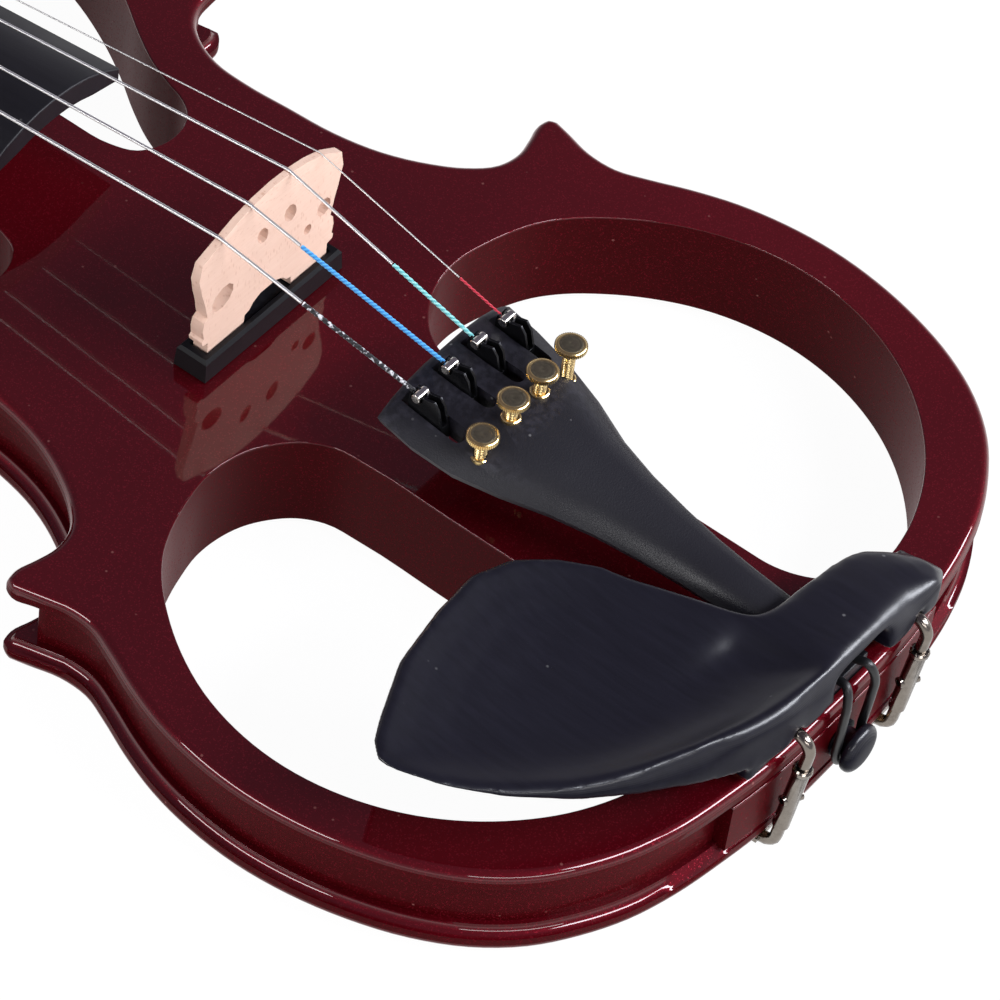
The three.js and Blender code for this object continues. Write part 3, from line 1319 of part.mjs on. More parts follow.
// Chinrest
const rimPoints = chinrestShares.map(([x, y, top, low]) => ({
  x: x * chinrestReach,
  y: y * chinrestDepth - chinrestTail,
  top: bodyThickness + top * chinrestHeight,
  low: bodyThickness + low * chinrestHeight,
}));
const dishCentre = {
  x: -chinrestCentreAcross,
  y: chinrestCentreDepth - chinrestTail,
  top: bodyThickness + chinrestDish,
  low: bodyThickness + chinrestDish - chinrestCupThickness,
};
const dishPower = 2.4;
const dishRing = (share, side) => rimPoints.map((p) => {
  const rise = side === "top" ? share ** dishPower : share ** 2;
  return point(
    THREE.MathUtils.lerp(dishCentre.x, p.x, share), THREE.MathUtils.lerp(dishCentre.y, p.y, share),
    THREE.MathUtils.lerp(dishCentre[side], p[side], rise),
  );
});
const rimDropped = rimPoints.map(
  (p) => point(p.x, p.y, Math.max(p.top - chinrestRimDrop, (p.top + p.low) / 2)),
);
const lowerEdge = rimPoints.map((p) => point(p.x, p.y, p.low));
const chinrestShell = stack([
  ...dishRingShares.slice(2).map((share) => dishRing(share, "low")).reverse(),
  lowerEdge,
  rimDropped,
  ...dishRingShares.map((share) => dishRing(share, "top")),
]);
const overpassRing = ([x, tail, front, tailTop, middleTop, frontTop]) => [
  [tail, overpassBaseShare], [front, overpassBaseShare], [front, frontTop],
  [(tail + front) / 2, middleTop], [tail, tailTop],
].map(([y, z]) => point(
  x * chinrestReach, y * chinrestDepth - chinrestTail, bodyThickness + z * chinrestHeight,
));
const overpass = stack(overpassShares.map(overpassRing));
const footBase = bodyThickness + corkGap * 2 + corkThickness;
const trebleFootFront = -footFront - chinrestRimDrop * 2;
const chinrestFeet = [
  box(-footOuter, -footInner, -footBack, -footFront, footBase, bodyThickness + footTop),
  box(footInner, footTrebleOuter, -footBack, trebleFootFront, footBase, bodyThickness + footTop),
];
const rodHeight = bodyThickness + upperRodHeight;
const clampTopPoint = (side) => point(side * clampSpread, -clampReach, barrelTop);
const clampLowPoint = (side) => point(
  side * clampSpread + clampLeanAcross, -clampReach + clampLeanAlong, barrelBottom,
);
const clampAxisAt = (side, height) => clampLowPoint(side).lerp(
  clampTopPoint(side), THREE.MathUtils.mapLinear(height, barrelBottom, barrelTop, 0, 1),
);
const clampUp = new THREE.Vector3().subVectors(clampTopPoint(1), clampLowPoint(1)).normalize();
const rodAcross = (side) => clampAxisAt(side, rodHeight - upperBend).x;
const chinrestCuts = [
  box(
    -archHalfWidth, archHalfWidth, -chinrestTail - cutOverrun, -footFront / 2,
    bodyThickness - cutOverrun, bodyThickness + archHeight,
  ),
  ...[-1, 1].map((side) => bar(
    point(rodAcross(side), -chinrestTail - cutOverrun * 2, rodHeight),
    point(rodAcross(side), -upperRodInner + seatGap, rodHeight),
    rodRadius + seatGap, rodSides,
  )),
  ...[-1, 1].map((side) => box(
    rodAcross(side) - rodRadius - seatGap, rodAcross(side) + rodRadius + seatGap,
    -chinrestTail - cutOverrun * 2, -clampReach + upperBend,
    rodHeight - rodRadius - upperBend, rodHeight,
  )),
];
piece("chinrest", shaped([chinrestShell, overpass, ...chinrestFeet], chinrestCuts), ebony);
const corkBase = bodyThickness + corkGap;
const corkPad = (name, inner, outer, front) => piece(name, box(
  inner + corkInset, outer - corkInset, -footBack + corkInset, front - corkInset,
  corkBase, corkBase + corkThickness,
), cork);
corkPad("cork_pad_bass", -footOuter, -footInner, -footFront);
corkPad("cork_pad_treble", footInner, footTrebleOuter, trebleFootFront);

// Clamps: an elbow from the chinrest, a turned barrel, and the foot below the back
const clampNames = ["bass", "treble"];
const bend = (centre, radius, from, to, steps) => Array.from({ length: steps + 1 }, (_, i) => {
  const turn = THREE.MathUtils.degToRad(THREE.MathUtils.lerp(from, to, i / steps));
  return point(centre.x, centre.y + radius * Math.cos(turn), centre.z + radius * Math.sin(turn));
});
[-1, 1].forEach((side, k) => {
  const turnEnd = clampAxisAt(side, rodHeight - upperBend);
  const bendCentre = point(turnEnd.x, turnEnd.y + upperBend, turnEnd.z);
  piece(`clamp_rod_${clampNames[k]}`, cord([
    point(turnEnd.x, -upperRodInner, rodHeight),
    ...bend(bendCentre, upperBend, 90, 180, 4),
    clampAxisAt(side, barrelTop - rodInsertLength),
  ], rodRadius, rodSides), nickel);
  const low = clampAxisAt(side, barrelBottom);
  const shoulder = low.distanceTo(clampAxisAt(side, barrelTop));
  const top = shoulder + barrelRingHeight;
  const rimStep = barrelRingHeight / 3;
  const tube = turned(low, clampUp, [
    [0, barrelBore], [0, barrelRadius], [shoulder - rimStep, barrelRadius],
    [shoulder, barrelRingRadius], [top - rimStep, barrelRingRadius],
    [top, barrelRadius], [top, barrelBore], [0, barrelBore],
  ], 14);
  const middle = clampAxisAt(side, THREE.MathUtils.lerp(barrelBottom, barrelTop, crossHoleShare));
  const turn = THREE.MathUtils.degToRad(crossHoleTurn);
  const aim = point(Math.cos(turn), Math.sin(turn), 0);
  const across = (radius, reach) => bar(
    middle.clone().addScaledVector(aim, -reach), middle.clone().addScaledVector(aim, reach),
    radius, 10,
  );
  const boreStart = low.clone().addScaledVector(clampUp, -cutOverrun);
  const wallMiddle = (barrelBore + barrelRadius) / 2;
  const bore = bar(boreStart, clampAxisAt(side, barrelTop + cutOverrun), wallMiddle, 12);
  const rims = shaped([across(crossRimRadius, barrelRadius + crossRimReach)], [bore]);
  piece(`clamp_barrel_${clampNames[k]}`, shaped(
    [tube, rims], [across(crossHoleRadius, barrelRingRadius + cutOverrun)],
  ), nickel);
});
const plateLow = -footPlateDrop;
const plateHigh = plateLow + footPlateThickness;
const lowerTurnHeight = -lowerRodDrop + lowerBend;
const lowerRod = (side) => {
  const turnStart = clampAxisAt(side, lowerTurnHeight);
  const bendCentre = point(turnStart.x, turnStart.y + lowerBend, turnStart.z);
  return cord([
    point(turnStart.x, -lowerRodInner, -lowerRodDrop),
    ...bend(bendCentre, lowerBend, 270, 180, 4),
    clampAxisAt(side, barrelBottom + rodInsertLength),
  ], rodRadius, rodSides);
};
piece("clamp_foot", shaped([
  box(-footPlateHalfWidth, footPlateHalfWidth, -footPlateBack, -footPlateFront, plateLow, plateHigh),
  lowerRod(-1), lowerRod(1),
]), nickel);
const rodTop = -lowerRodDrop + rodRadius;
piece("clamp_cork", shaped([box(
  -footPlateHalfWidth, footPlateHalfWidth, -footPlateBack, -footPlateFront,
  -corkGap - lowerCorkThickness, -corkGap,
)], [-1, 1].map((side) => {
  const x = clampAxisAt(side, lowerTurnHeight).x;
  return box(
    x - rodRadius - seatGap, x + rodRadius + seatGap,
    -footPlateBack - cutOverrun, -lowerRodInner + rodRadius, -footPlateDrop - cutOverrun, rodTop + seatGap,
  );
})), cork);

// Control box in the back
const knobHole = knobShaftRadius + seatGap;
const nubSlot = switchNubWidth / 2 + switchTravel + seatGap;
const switchOff = switchAcross - switchTravel;
const plateCuts = [
  ...[volumeAcross, toneAcross].map((x) => bar(
    point(x, potAlong, -cutOverrun), point(x, potAlong, plateTop + cutOverrun), knobHole,
  )),
  box(
    switchAcross - nubSlot, switchAcross + nubSlot,
    switchAlong - switchNubHeight / 2 - seatGap, switchAlong + switchNubHeight / 2 + seatGap,
    -cutOverrun, plateTop + cutOverrun,
  ),
  ...plateScrewPlaces.map(([x, y]) => bar(
    point(x, y, -cutOverrun), point(x, y, plateTop + cutOverrun), plateScrewRadius + turningGap, 8,
  )),
  ...plateScrewPlaces.map(([x, y]) => bar(
    point(x, y, -cutOverrun), point(x, y, plateInset + plateScrewHeadHeight + turningGap),
    plateScrewHeadRadius + turningGap, 12,
  )),
];
piece("control_plate", shaped([box(
  plate.x0 + seatGap, plate.x1 - seatGap, plate.y0 + seatGap, plate.y1 - seatGap, plateInset, plateTop,
)], plateCuts), blackPlastic);
plateScrewPlaces.forEach(([x, y], k) => {
  piece(`plate_screw_${k + 1}`, turned(point(x, y, plateInset), alongZ, [
    [0, 0], [0, plateScrewHeadRadius], [plateScrewHeadHeight / 2, plateScrewHeadRadius],
    [plateScrewHeadHeight, plateScrewRadius], [plateScrewLength * 0.85, plateScrewRadius],
    [plateScrewLength, plateScrewRadius / 4], [plateScrewLength, 0],
  ], 10), blackMetal);
});
const potLow = plateTop + seatGap;
const pot = (name, x) => {
  piece(name, shaped([
    box(
      x - potSide / 2, x + potSide / 2, potAlong - potSide / 2, potAlong + potSide / 2,
      potLow, potLow + potHeight,
    ),
    bar(
      point(x, potAlong, potLow + cutOverrun), point(x, potAlong, plateInset - knobShaftLength),
      knobShaftRadius, 12,
    ),
  ]), nickel);
};
pot("volume_control", volumeAcross);
pot("tone_control", toneAcross);
const knob = (name, x) => {
  const low = plateInset - seatGap;
  piece(name, shaped([prism(
    knurled(x, potAlong, knobRadius, knobRidgeDepth, knobRidges), low - knobHeight, low,
  )], [bar(
    point(x, potAlong, low + cutOverrun), point(x, potAlong, plateInset - knobShaftLength - turningGap),
    knobShaftRadius + turningGap, 12,
  )]), blackPlastic);
};
knob("volume_knob", volumeAcross);
knob("tone_knob", toneAcross);
const switchBase = plateTop + seatGap + switchNubRise / 3;
piece("power_switch", shaped([
  box(
    switchOff - switchNubWidth / 2, switchOff + switchNubWidth / 2,
    switchAlong - switchNubHeight / 2, switchAlong + switchNubHeight / 2,
    plateInset - switchNubRise, switchBase - seatGap / 2,
  ),
  box(
    switchOff - switchBodyWidth / 4, switchOff + switchBodyWidth / 4,
    switchAlong - switchNubHeight / 2 - 2 * seatGap, switchAlong + switchNubHeight / 2 + 2 * seatGap,
    plateTop + turningGap, switchBase - seatGap / 2,
  ),
]), blackPlastic);
const boardLow = plateTop + boardRise - potHeight / 2;
const boardMiddle = (volumeAcross + toneAcross) / 2;
const switchRoom = switchBodyWidth / 2;
piece("preamp_board", shaped([
  box(
    boardMiddle - boardWidth / 2, boardMiddle + boardWidth / 2,
    potAlong - boardLength / 2, potAlong + boardLength / 2 - cutOverrun,
    boardLow, boardLow + boardThickness,
  ),
  box(
    boardMiddle - chipWidth / 2, boardMiddle + chipWidth / 2,
    potAlong - chipLength / 2, potAlong + chipLength / 2,
    boardLow + boardThickness / 2, boardLow + boardThickness + chipHeight,
  ),
  box(
    switchAcross - switchRoom, switchAcross + switchRoom, switchAlong - switchRoom, potAlong,
    boardLow, boardLow + boardThickness,
  ),
  box(
    switchAcross - switchRoom, switchAcross + switchRoom,
    switchAlong - switchBodyHeight, switchAlong + switchBodyHeight,
    switchBase, boardLow + boardThickness / 2,
  ),
]), circuit);
const jack = (name, y, bodyRadius, length, bushing, nutRadius, bore, face) => {
  const inner = controlWall - seatGap - length;
  const wall = controlWall - seatGap;
  const nutLow = face + turningGap;
  const nutEnd = nutLow + jackNutThickness;
  const end = nutEnd + jackNutRise;
  const at = (x) => x - inner;
  piece(name, turned(point(inner, y, jackHeight), alongX, [
    [0, 0], [0, bodyRadius], [at(wall), bodyRadius], [at(wall), bushing], [at(nutLow), bushing],
    [at(nutLow), nutRadius], [at(nutEnd), nutRadius], [at(nutEnd), bushing], [at(end), bushing],
    [at(end), bore], [jackInnerEnd, bore], [jackInnerEnd, 0],
  ], 14), blackMetal);
};
jack(
  "output_jack", outputJackAlong, outputJackRadius, outputJackLength, outputBushingRadius,
  outputNutRadius, outputBore, outputJackSpotFace,
);
jack(
  "headphone_jack", phoneJackAlong, phoneJackRadius, phoneJackLength, phoneBushingRadius,
  phoneNutRadius, phoneBore, phoneJackSpotFace,
);

// Battery box in the back
const batteryLow = lidInset + lidThickness + seatGap;
const batteryMiddle = (batteryPocket.y0 + batteryPocket.y1) / 2;
const batteryStart = batteryPocket.x0 + batteryEndGap;
const batteryEnd = batteryStart + batteryLength;
piece("battery", box(
  batteryStart, batteryEnd, batteryMiddle - batteryWidth / 2, batteryMiddle + batteryWidth / 2,
  batteryLow, batteryLow + batteryHeight - seatGap,
), batteryCase);
const lidSide = [
  flat(lidScroll, lidInset), flat(lidScroll, lidInset + lidThickness),
  ...[90, 135, 180, 225, 270].map((degrees) => {
    const turn = THREE.MathUtils.degToRad(degrees);
    return flat(
      lidAxisAlong + lidEdgeRadius * Math.cos(turn), lidAxisHeight + lidThickness / 2 * Math.sin(turn),
    );
  }),
];
const pinLine = (x) => point(x, lidAxisAlong, lidAxisHeight);
piece("battery_lid", shaped([
  prismX(lidSide, batteryPocket.x0 + seatGap, batteryPocket.x1 - seatGap),
  bar(
    pinLine(batteryPocket.x0 - lidPinLength), pinLine(batteryPocket.x1 + lidPinLength),
      lidPinRadius, 8,
  ),
]), blackPlastic);

export default violin;
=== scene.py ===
"""Looks of an electric violin: finishes, fine shapes, strings, studio and camera.

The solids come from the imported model. Sizes are written in millimetres and turned to
metres by ``mm``. +Y runs to the scroll, +X to the treble side, +Z out of the top.
"""

import logging
import math
from dataclasses import dataclass, field
from enum import Enum
from typing import Iterable, Sequence

import bmesh
import bpy
from mathutils import Matrix, Vector
from mathutils.bvhtree import BVHTree
from mathutils.geometry import interpolate_bezier


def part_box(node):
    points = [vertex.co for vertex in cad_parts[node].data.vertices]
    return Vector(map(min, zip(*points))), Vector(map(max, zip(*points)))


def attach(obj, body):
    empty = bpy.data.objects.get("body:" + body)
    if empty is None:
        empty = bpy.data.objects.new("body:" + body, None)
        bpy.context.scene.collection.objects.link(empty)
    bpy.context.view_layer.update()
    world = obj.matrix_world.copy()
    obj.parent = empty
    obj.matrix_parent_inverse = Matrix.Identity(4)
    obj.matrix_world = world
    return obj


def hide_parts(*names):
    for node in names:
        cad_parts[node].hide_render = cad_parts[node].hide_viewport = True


logging.basicConfig(level=logging.INFO, format="%(message)s")
LOG = logging.getLogger("violin")

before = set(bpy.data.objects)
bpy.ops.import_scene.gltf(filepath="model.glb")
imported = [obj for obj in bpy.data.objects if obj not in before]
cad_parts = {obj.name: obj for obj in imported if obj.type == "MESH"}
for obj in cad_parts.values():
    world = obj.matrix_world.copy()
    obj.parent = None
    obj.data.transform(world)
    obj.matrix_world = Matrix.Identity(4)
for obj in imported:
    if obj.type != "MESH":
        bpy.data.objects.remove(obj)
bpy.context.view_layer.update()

Colour = tuple[float, float, float]
Pair = tuple[float, float]

REAL, WHOLE, ARROW = "NodeSocketFloat", "NodeSocketInt", "NodeSocketVector"
UP = Vector((0, 0, 1))
WHITE: Colour = (1.0, 1.0, 1.0)
COOL: Colour = (0.90, 0.93, 1.0)
LEVEL = 1e-5
MERGE = 2e-6


class Body(str, Enum):
    """The moving bodies that are named in more than one place."""

    VIOLIN = "violin"
    CLAMP = "clamp"
    LID = "battery_lid"
    SWITCH = "power_switch"


class Strings(str, Enum):
    """The letters of the four strings from bass to treble."""

    G = "g"
    D = "d"
    A = "a"
    E = "e"


class Slot(str, Enum):
    """The record's material slots."""

    LACQUER = "lacquered_wood"
    EBONY = "ebony"
    MAPLE = "maple"
    BLACK_METAL = "black_metal"
    BLACK_PLASTIC = "black_plastic"
    BRASS = "brass"
    NICKEL = "nickel"
    STEEL = "string_steel"
    CORK = "cork"
    NYLON = "nylon"
    BATTERY = "battery_case"


def mm(*sizes: float) -> Vector:
    """Turns millimetres into a vector in metres."""
    return Vector(tuple(size / 1000 for size in sizes))


# Node trees


class Tree:
    """A short way to place and join the nodes of one tree."""

    def __init__(self, tree: bpy.types.NodeTree) -> None:
        """Keeps the tree.

        Args:
            tree: The node tree that is filled.
        """
        self.tree = tree

    def add(self, kind: str, inputs: dict | None = None, **settings: object) -> bpy.types.Node:
        """Adds a node.

        Args:
            kind: The node's Blender type.
            inputs: Values or sockets by input name or number.
            settings: Properties of the node.

        Returns:
            The new node.
        """
        node = self.tree.nodes.new(kind)
        for name, value in settings.items():
            setattr(node, name, value)
        for key, value in (inputs or {}).items():
            self.feed(node.inputs[key], value)
        return node

    def feed(self, socket: bpy.types.NodeSocket, value: object) -> None:
        """Joins a socket to the input, or sets the input's own value.

        Args:
            socket: The input.
            value: A socket of another node, or a plain value.
        """
        if isinstance(value, bpy.types.NodeSocket):
            self.tree.links.new(value, socket)
        elif isinstance(value, tuple) and len(value) == 3 and socket.type == "RGBA":
            socket.default_value = (*value, 1.0)
        else:
            socket.default_value = value

    def math(self, operation: str, *values: object) -> bpy.types.NodeSocket:
        """Adds a Math node and gives its output.

        Args:
            operation: The kind of sum.
            values: Numbers or sockets.

        Returns:
            The output socket.
        """
        inputs = dict(enumerate(values))
        return self.add("ShaderNodeMath", inputs, operation=operation).outputs[0]

    def mix(self, share: object, first: object, second: object) -> bpy.types.NodeSocket:
        """Mixes two colours.

        Args:
            share: How much of the second colour.
            first: A colour or socket.
            second: A colour or socket.

        Returns:
            The mixed colour's socket.
        """
        node = self.add("ShaderNodeMix", data_type="RGBA")
        self.feed(node.inputs[0], share)
        self.feed(node.inputs[6], first)
        self.feed(node.inputs[7], second)
        return node.outputs[2]

    def ramp(self, value: object, low: float, high: float) -> bpy.types.NodeSocket:
        """Stretches a value from a range to 0..1 and clamps it.

        Args:
            value: The value's socket.
            low: What becomes 0.
            high: What becomes 1.

        Returns:
            The stretched value's socket.
        """
        inputs = {"Value": value, "From Min": low, "From Max": high}
        return self.add("ShaderNodeMapRange", inputs).outputs[0]

    def line(self, value: object, slope: float, start: float) -> bpy.types.NodeSocket:
        """Gives a value times a slope, plus a start."""
        return self.math("MULTIPLY_ADD", value, slope, start)

    def vector(self, operation: str, *values: object) -> bpy.types.NodeSocket:
        """Adds a Vector Math node and gives its output.

        Args:
            operation: The kind of sum.
            values: Vectors or sockets, with a number second where it scales.

        Returns:
            The output socket.
        """
        node = self.add("ShaderNodeVectorMath", operation=operation)
        second = node.inputs["Scale" if operation == "SCALE" else 1]
        for socket, value in zip((node.inputs[0], second), values):
            self.feed(socket, value)
        return node.outputs[0]

    def place(self) -> bpy.types.NodeSocket:
        """Gives the object's own coordinates in metres."""
        return self.add("ShaderNodeTexCoord").outputs["Object"]

    def channel(self, colour: object, number: int) -> bpy.types.NodeSocket:
        """Gives one channel of a colour."""
        return self.add("ShaderNodeSeparateColor", {0: colour}).outputs[number]

    def rise(self) -> bpy.types.NodeSocket:
        """Tells how level a face is.

        Returns:
            A socket that is 1 where the face looks up or down, and 0 on an upright wall.
        """
        facing = self.add("ShaderNodeNewGeometry").outputs["True Normal"]
        height = self.add("ShaderNodeSeparateXYZ", {0: facing}).outputs[2]
        return self.math("ABSOLUTE", height)


def emptied(owner: bpy.types.Material | bpy.types.World) -> Tree:
    """Clears the nodes of a material or world.

    Args:
        owner: The material or world.

    Returns:
        Its empty tree.
    """
    owner.use_nodes = True
    owner.node_tree.nodes.clear()
    return Tree(owner.node_tree)


class Effects:
    """Shader node groups that several finishes share, each built once."""

    def __init__(self) -> None:
        """Builds every group."""
        self.speckle = self._speckle()
        self.grain = self._grain()
        self.fibre = self._fibre()
        self.flake = self._flake()
        self.wear = self._wear()

    @staticmethod
    def _group(name: str, inputs: Sequence[tuple[str, str, object]],
               outputs: dict[str, str]) -> tuple[bpy.types.NodeTree, Tree, dict]:
        """Starts a group with named sockets.

        Args:
            name: The group's name.
            inputs: Name, socket type and default value of each input.
            outputs: The socket type of each output by name.

        Returns:
            The group, its tree and its input sockets by name.
        """
        group = bpy.data.node_groups.new(name, "ShaderNodeTree")
        for title, kind, value in inputs:
            socket = group.interface.new_socket(title, in_out="INPUT", socket_type=kind)
            socket.default_value = value
        for title, kind in outputs.items():
            group.interface.new_socket(title, in_out="OUTPUT", socket_type=kind)
        tree = Tree(group)
        start = tree.add("NodeGroupInput")
        return group, tree, {title: start.outputs[title] for title, _, _ in inputs}

    def _speckle(self) -> bpy.types.NodeTree:
        """Fine dust: a sparse mask of small dots.

        Returns:
            The group, with the output Mask.
        """
        group, tree, given = self._group(
            "settled_dust", [("Scale", REAL, 500.0), ("Amount", REAL, 0.5)], {"Mask": REAL})
        cells = tree.add("ShaderNodeTexVoronoi", {
            "Vector": tree.place(), "Scale": given["Scale"]}).outputs
        dot = tree.ramp(cells["Distance"], low=0.16, high=0.08)
        few = tree.ramp(tree.channel(cells["Color"], 0), low=0.93, high=0.97)
        mask = tree.math("MULTIPLY", tree.math("MULTIPLY", dot, few), given["Amount"])
        tree.add("NodeGroupOutput", {"Mask": mask})
        return group

    def _grain(self) -> bpy.types.NodeTree:
        """Fine moulded or sprayed grain, with broad patches of handling.

        Returns:
            The group, with outputs Height and Patch.
        """
        group, tree, given = self._group(
            "fine_grain", [("Scale", REAL, 3000.0), ("Patch Scale", REAL, 60.0)],
            {"Height": REAL, "Patch": REAL})
        place = tree.place()
        fine = tree.add("ShaderNodeTexNoise", {
            "Vector": place, "Scale": given["Scale"], "Detail": 2.0, "Roughness": 0.6})
        broad = tree.add("ShaderNodeTexNoise", {
            "Vector": place, "Scale": given["Patch Scale"], "Detail": 3.0})
        patch = tree.ramp(broad.outputs[0], low=0.3, high=0.7)
        tree.add("NodeGroupOutput", {"Height": fine.outputs[0], "Patch": patch})
        return group

    def _fibre(self) -> bpy.types.NodeTree:
        """Wood fibre: long streaks along one axis and short dark flecks.

        Returns:
            The group, with outputs Streak, Fleck and Height.
        """
        group, tree, given = self._group(
            "wood_fibre", [("Stretch", ARROW, (900.0, 60.0, 900.0)),
                           ("Fleck Stretch", ARROW, (900.0, 900.0, 250.0))],
            {"Streak": REAL, "Fleck": REAL, "Height": REAL})
        place = tree.place()
        streak = tree.add("ShaderNodeTexNoise", {
            "Vector": tree.vector("MULTIPLY", place, given["Stretch"]),
            "Scale": 1.0, "Detail": 4.0, "Roughness": 0.6, "Distortion": 0.3}).outputs[0]
        cells = tree.add("ShaderNodeTexVoronoi", {
            "Vector": tree.vector("MULTIPLY", place, given["Fleck Stretch"]),
            "Scale": 1.0, "Randomness": 0.9}).outputs
        dot = tree.ramp(cells["Distance"], low=0.34, high=0.12)
        few = tree.ramp(tree.channel(cells["Color"], 1), low=0.45, high=0.8)
        fleck = tree.math("MULTIPLY", dot, few)
        height = tree.math("SUBTRACT", streak, tree.math("MULTIPLY", fleck, 0.35))
        tree.add("NodeGroupOutput", {
            "Streak": tree.ramp(streak, low=0.3, high=0.7), "Fleck": fleck, "Height": height})
        return group

    def _flake(self) -> bpy.types.NodeTree:
        """Metal flake under lacquer: tilted cells and a mask of the bright ones.

        Returns:
            The group, with outputs Normal and Mask.
        """
        group, tree, given = self._group(
            "metal_flake", [("Scale", REAL, 3200.0), ("Tilt", REAL, 0.35), ("Share", REAL, 0.7)],
            {"Normal": ARROW, "Mask": REAL})
        cells = tree.add("ShaderNodeTexVoronoi", {
            "Vector": tree.place(), "Scale": given["Scale"]}).outputs["Color"]
        mask = tree.math("GREATER_THAN", tree.channel(cells, 2), given["Share"])
        lean = tree.vector("SCALE", tree.vector("SUBTRACT", cells, (0.5, 0.5, 0.5)),
                           tree.math("MULTIPLY", mask, given["Tilt"]))
        surface = tree.add("ShaderNodeNewGeometry").outputs["Normal"]
        normal = tree.vector("NORMALIZE", tree.vector("ADD", surface, lean))
        tree.add("NodeGroupOutput", {"Normal": normal, "Mask": mask})
        return group

    def _wear(self) -> bpy.types.NodeTree:
        """Wear on outward edges, broken up by noise.

        Returns:
            The group, with the output Mask.
        """
        group, tree, given = self._group(
            "edge_wear", [("Start", REAL, 0.52), ("End", REAL, 0.6), ("Scale", REAL, 900.0)],
            {"Mask": REAL})
        point = tree.add("ShaderNodeNewGeometry").outputs["Pointiness"]
        edge = tree.ramp(point, given["Start"], given["End"])
        noise = tree.add("ShaderNodeTexNoise", {
            "Vector": tree.place(), "Scale": given["Scale"], "Detail": 3.0})
        broken = tree.ramp(noise.outputs[0], low=0.4, high=0.62)
        tree.add("NodeGroupOutput", {"Mask": tree.math("MULTIPLY", edge, broken)})
        return group


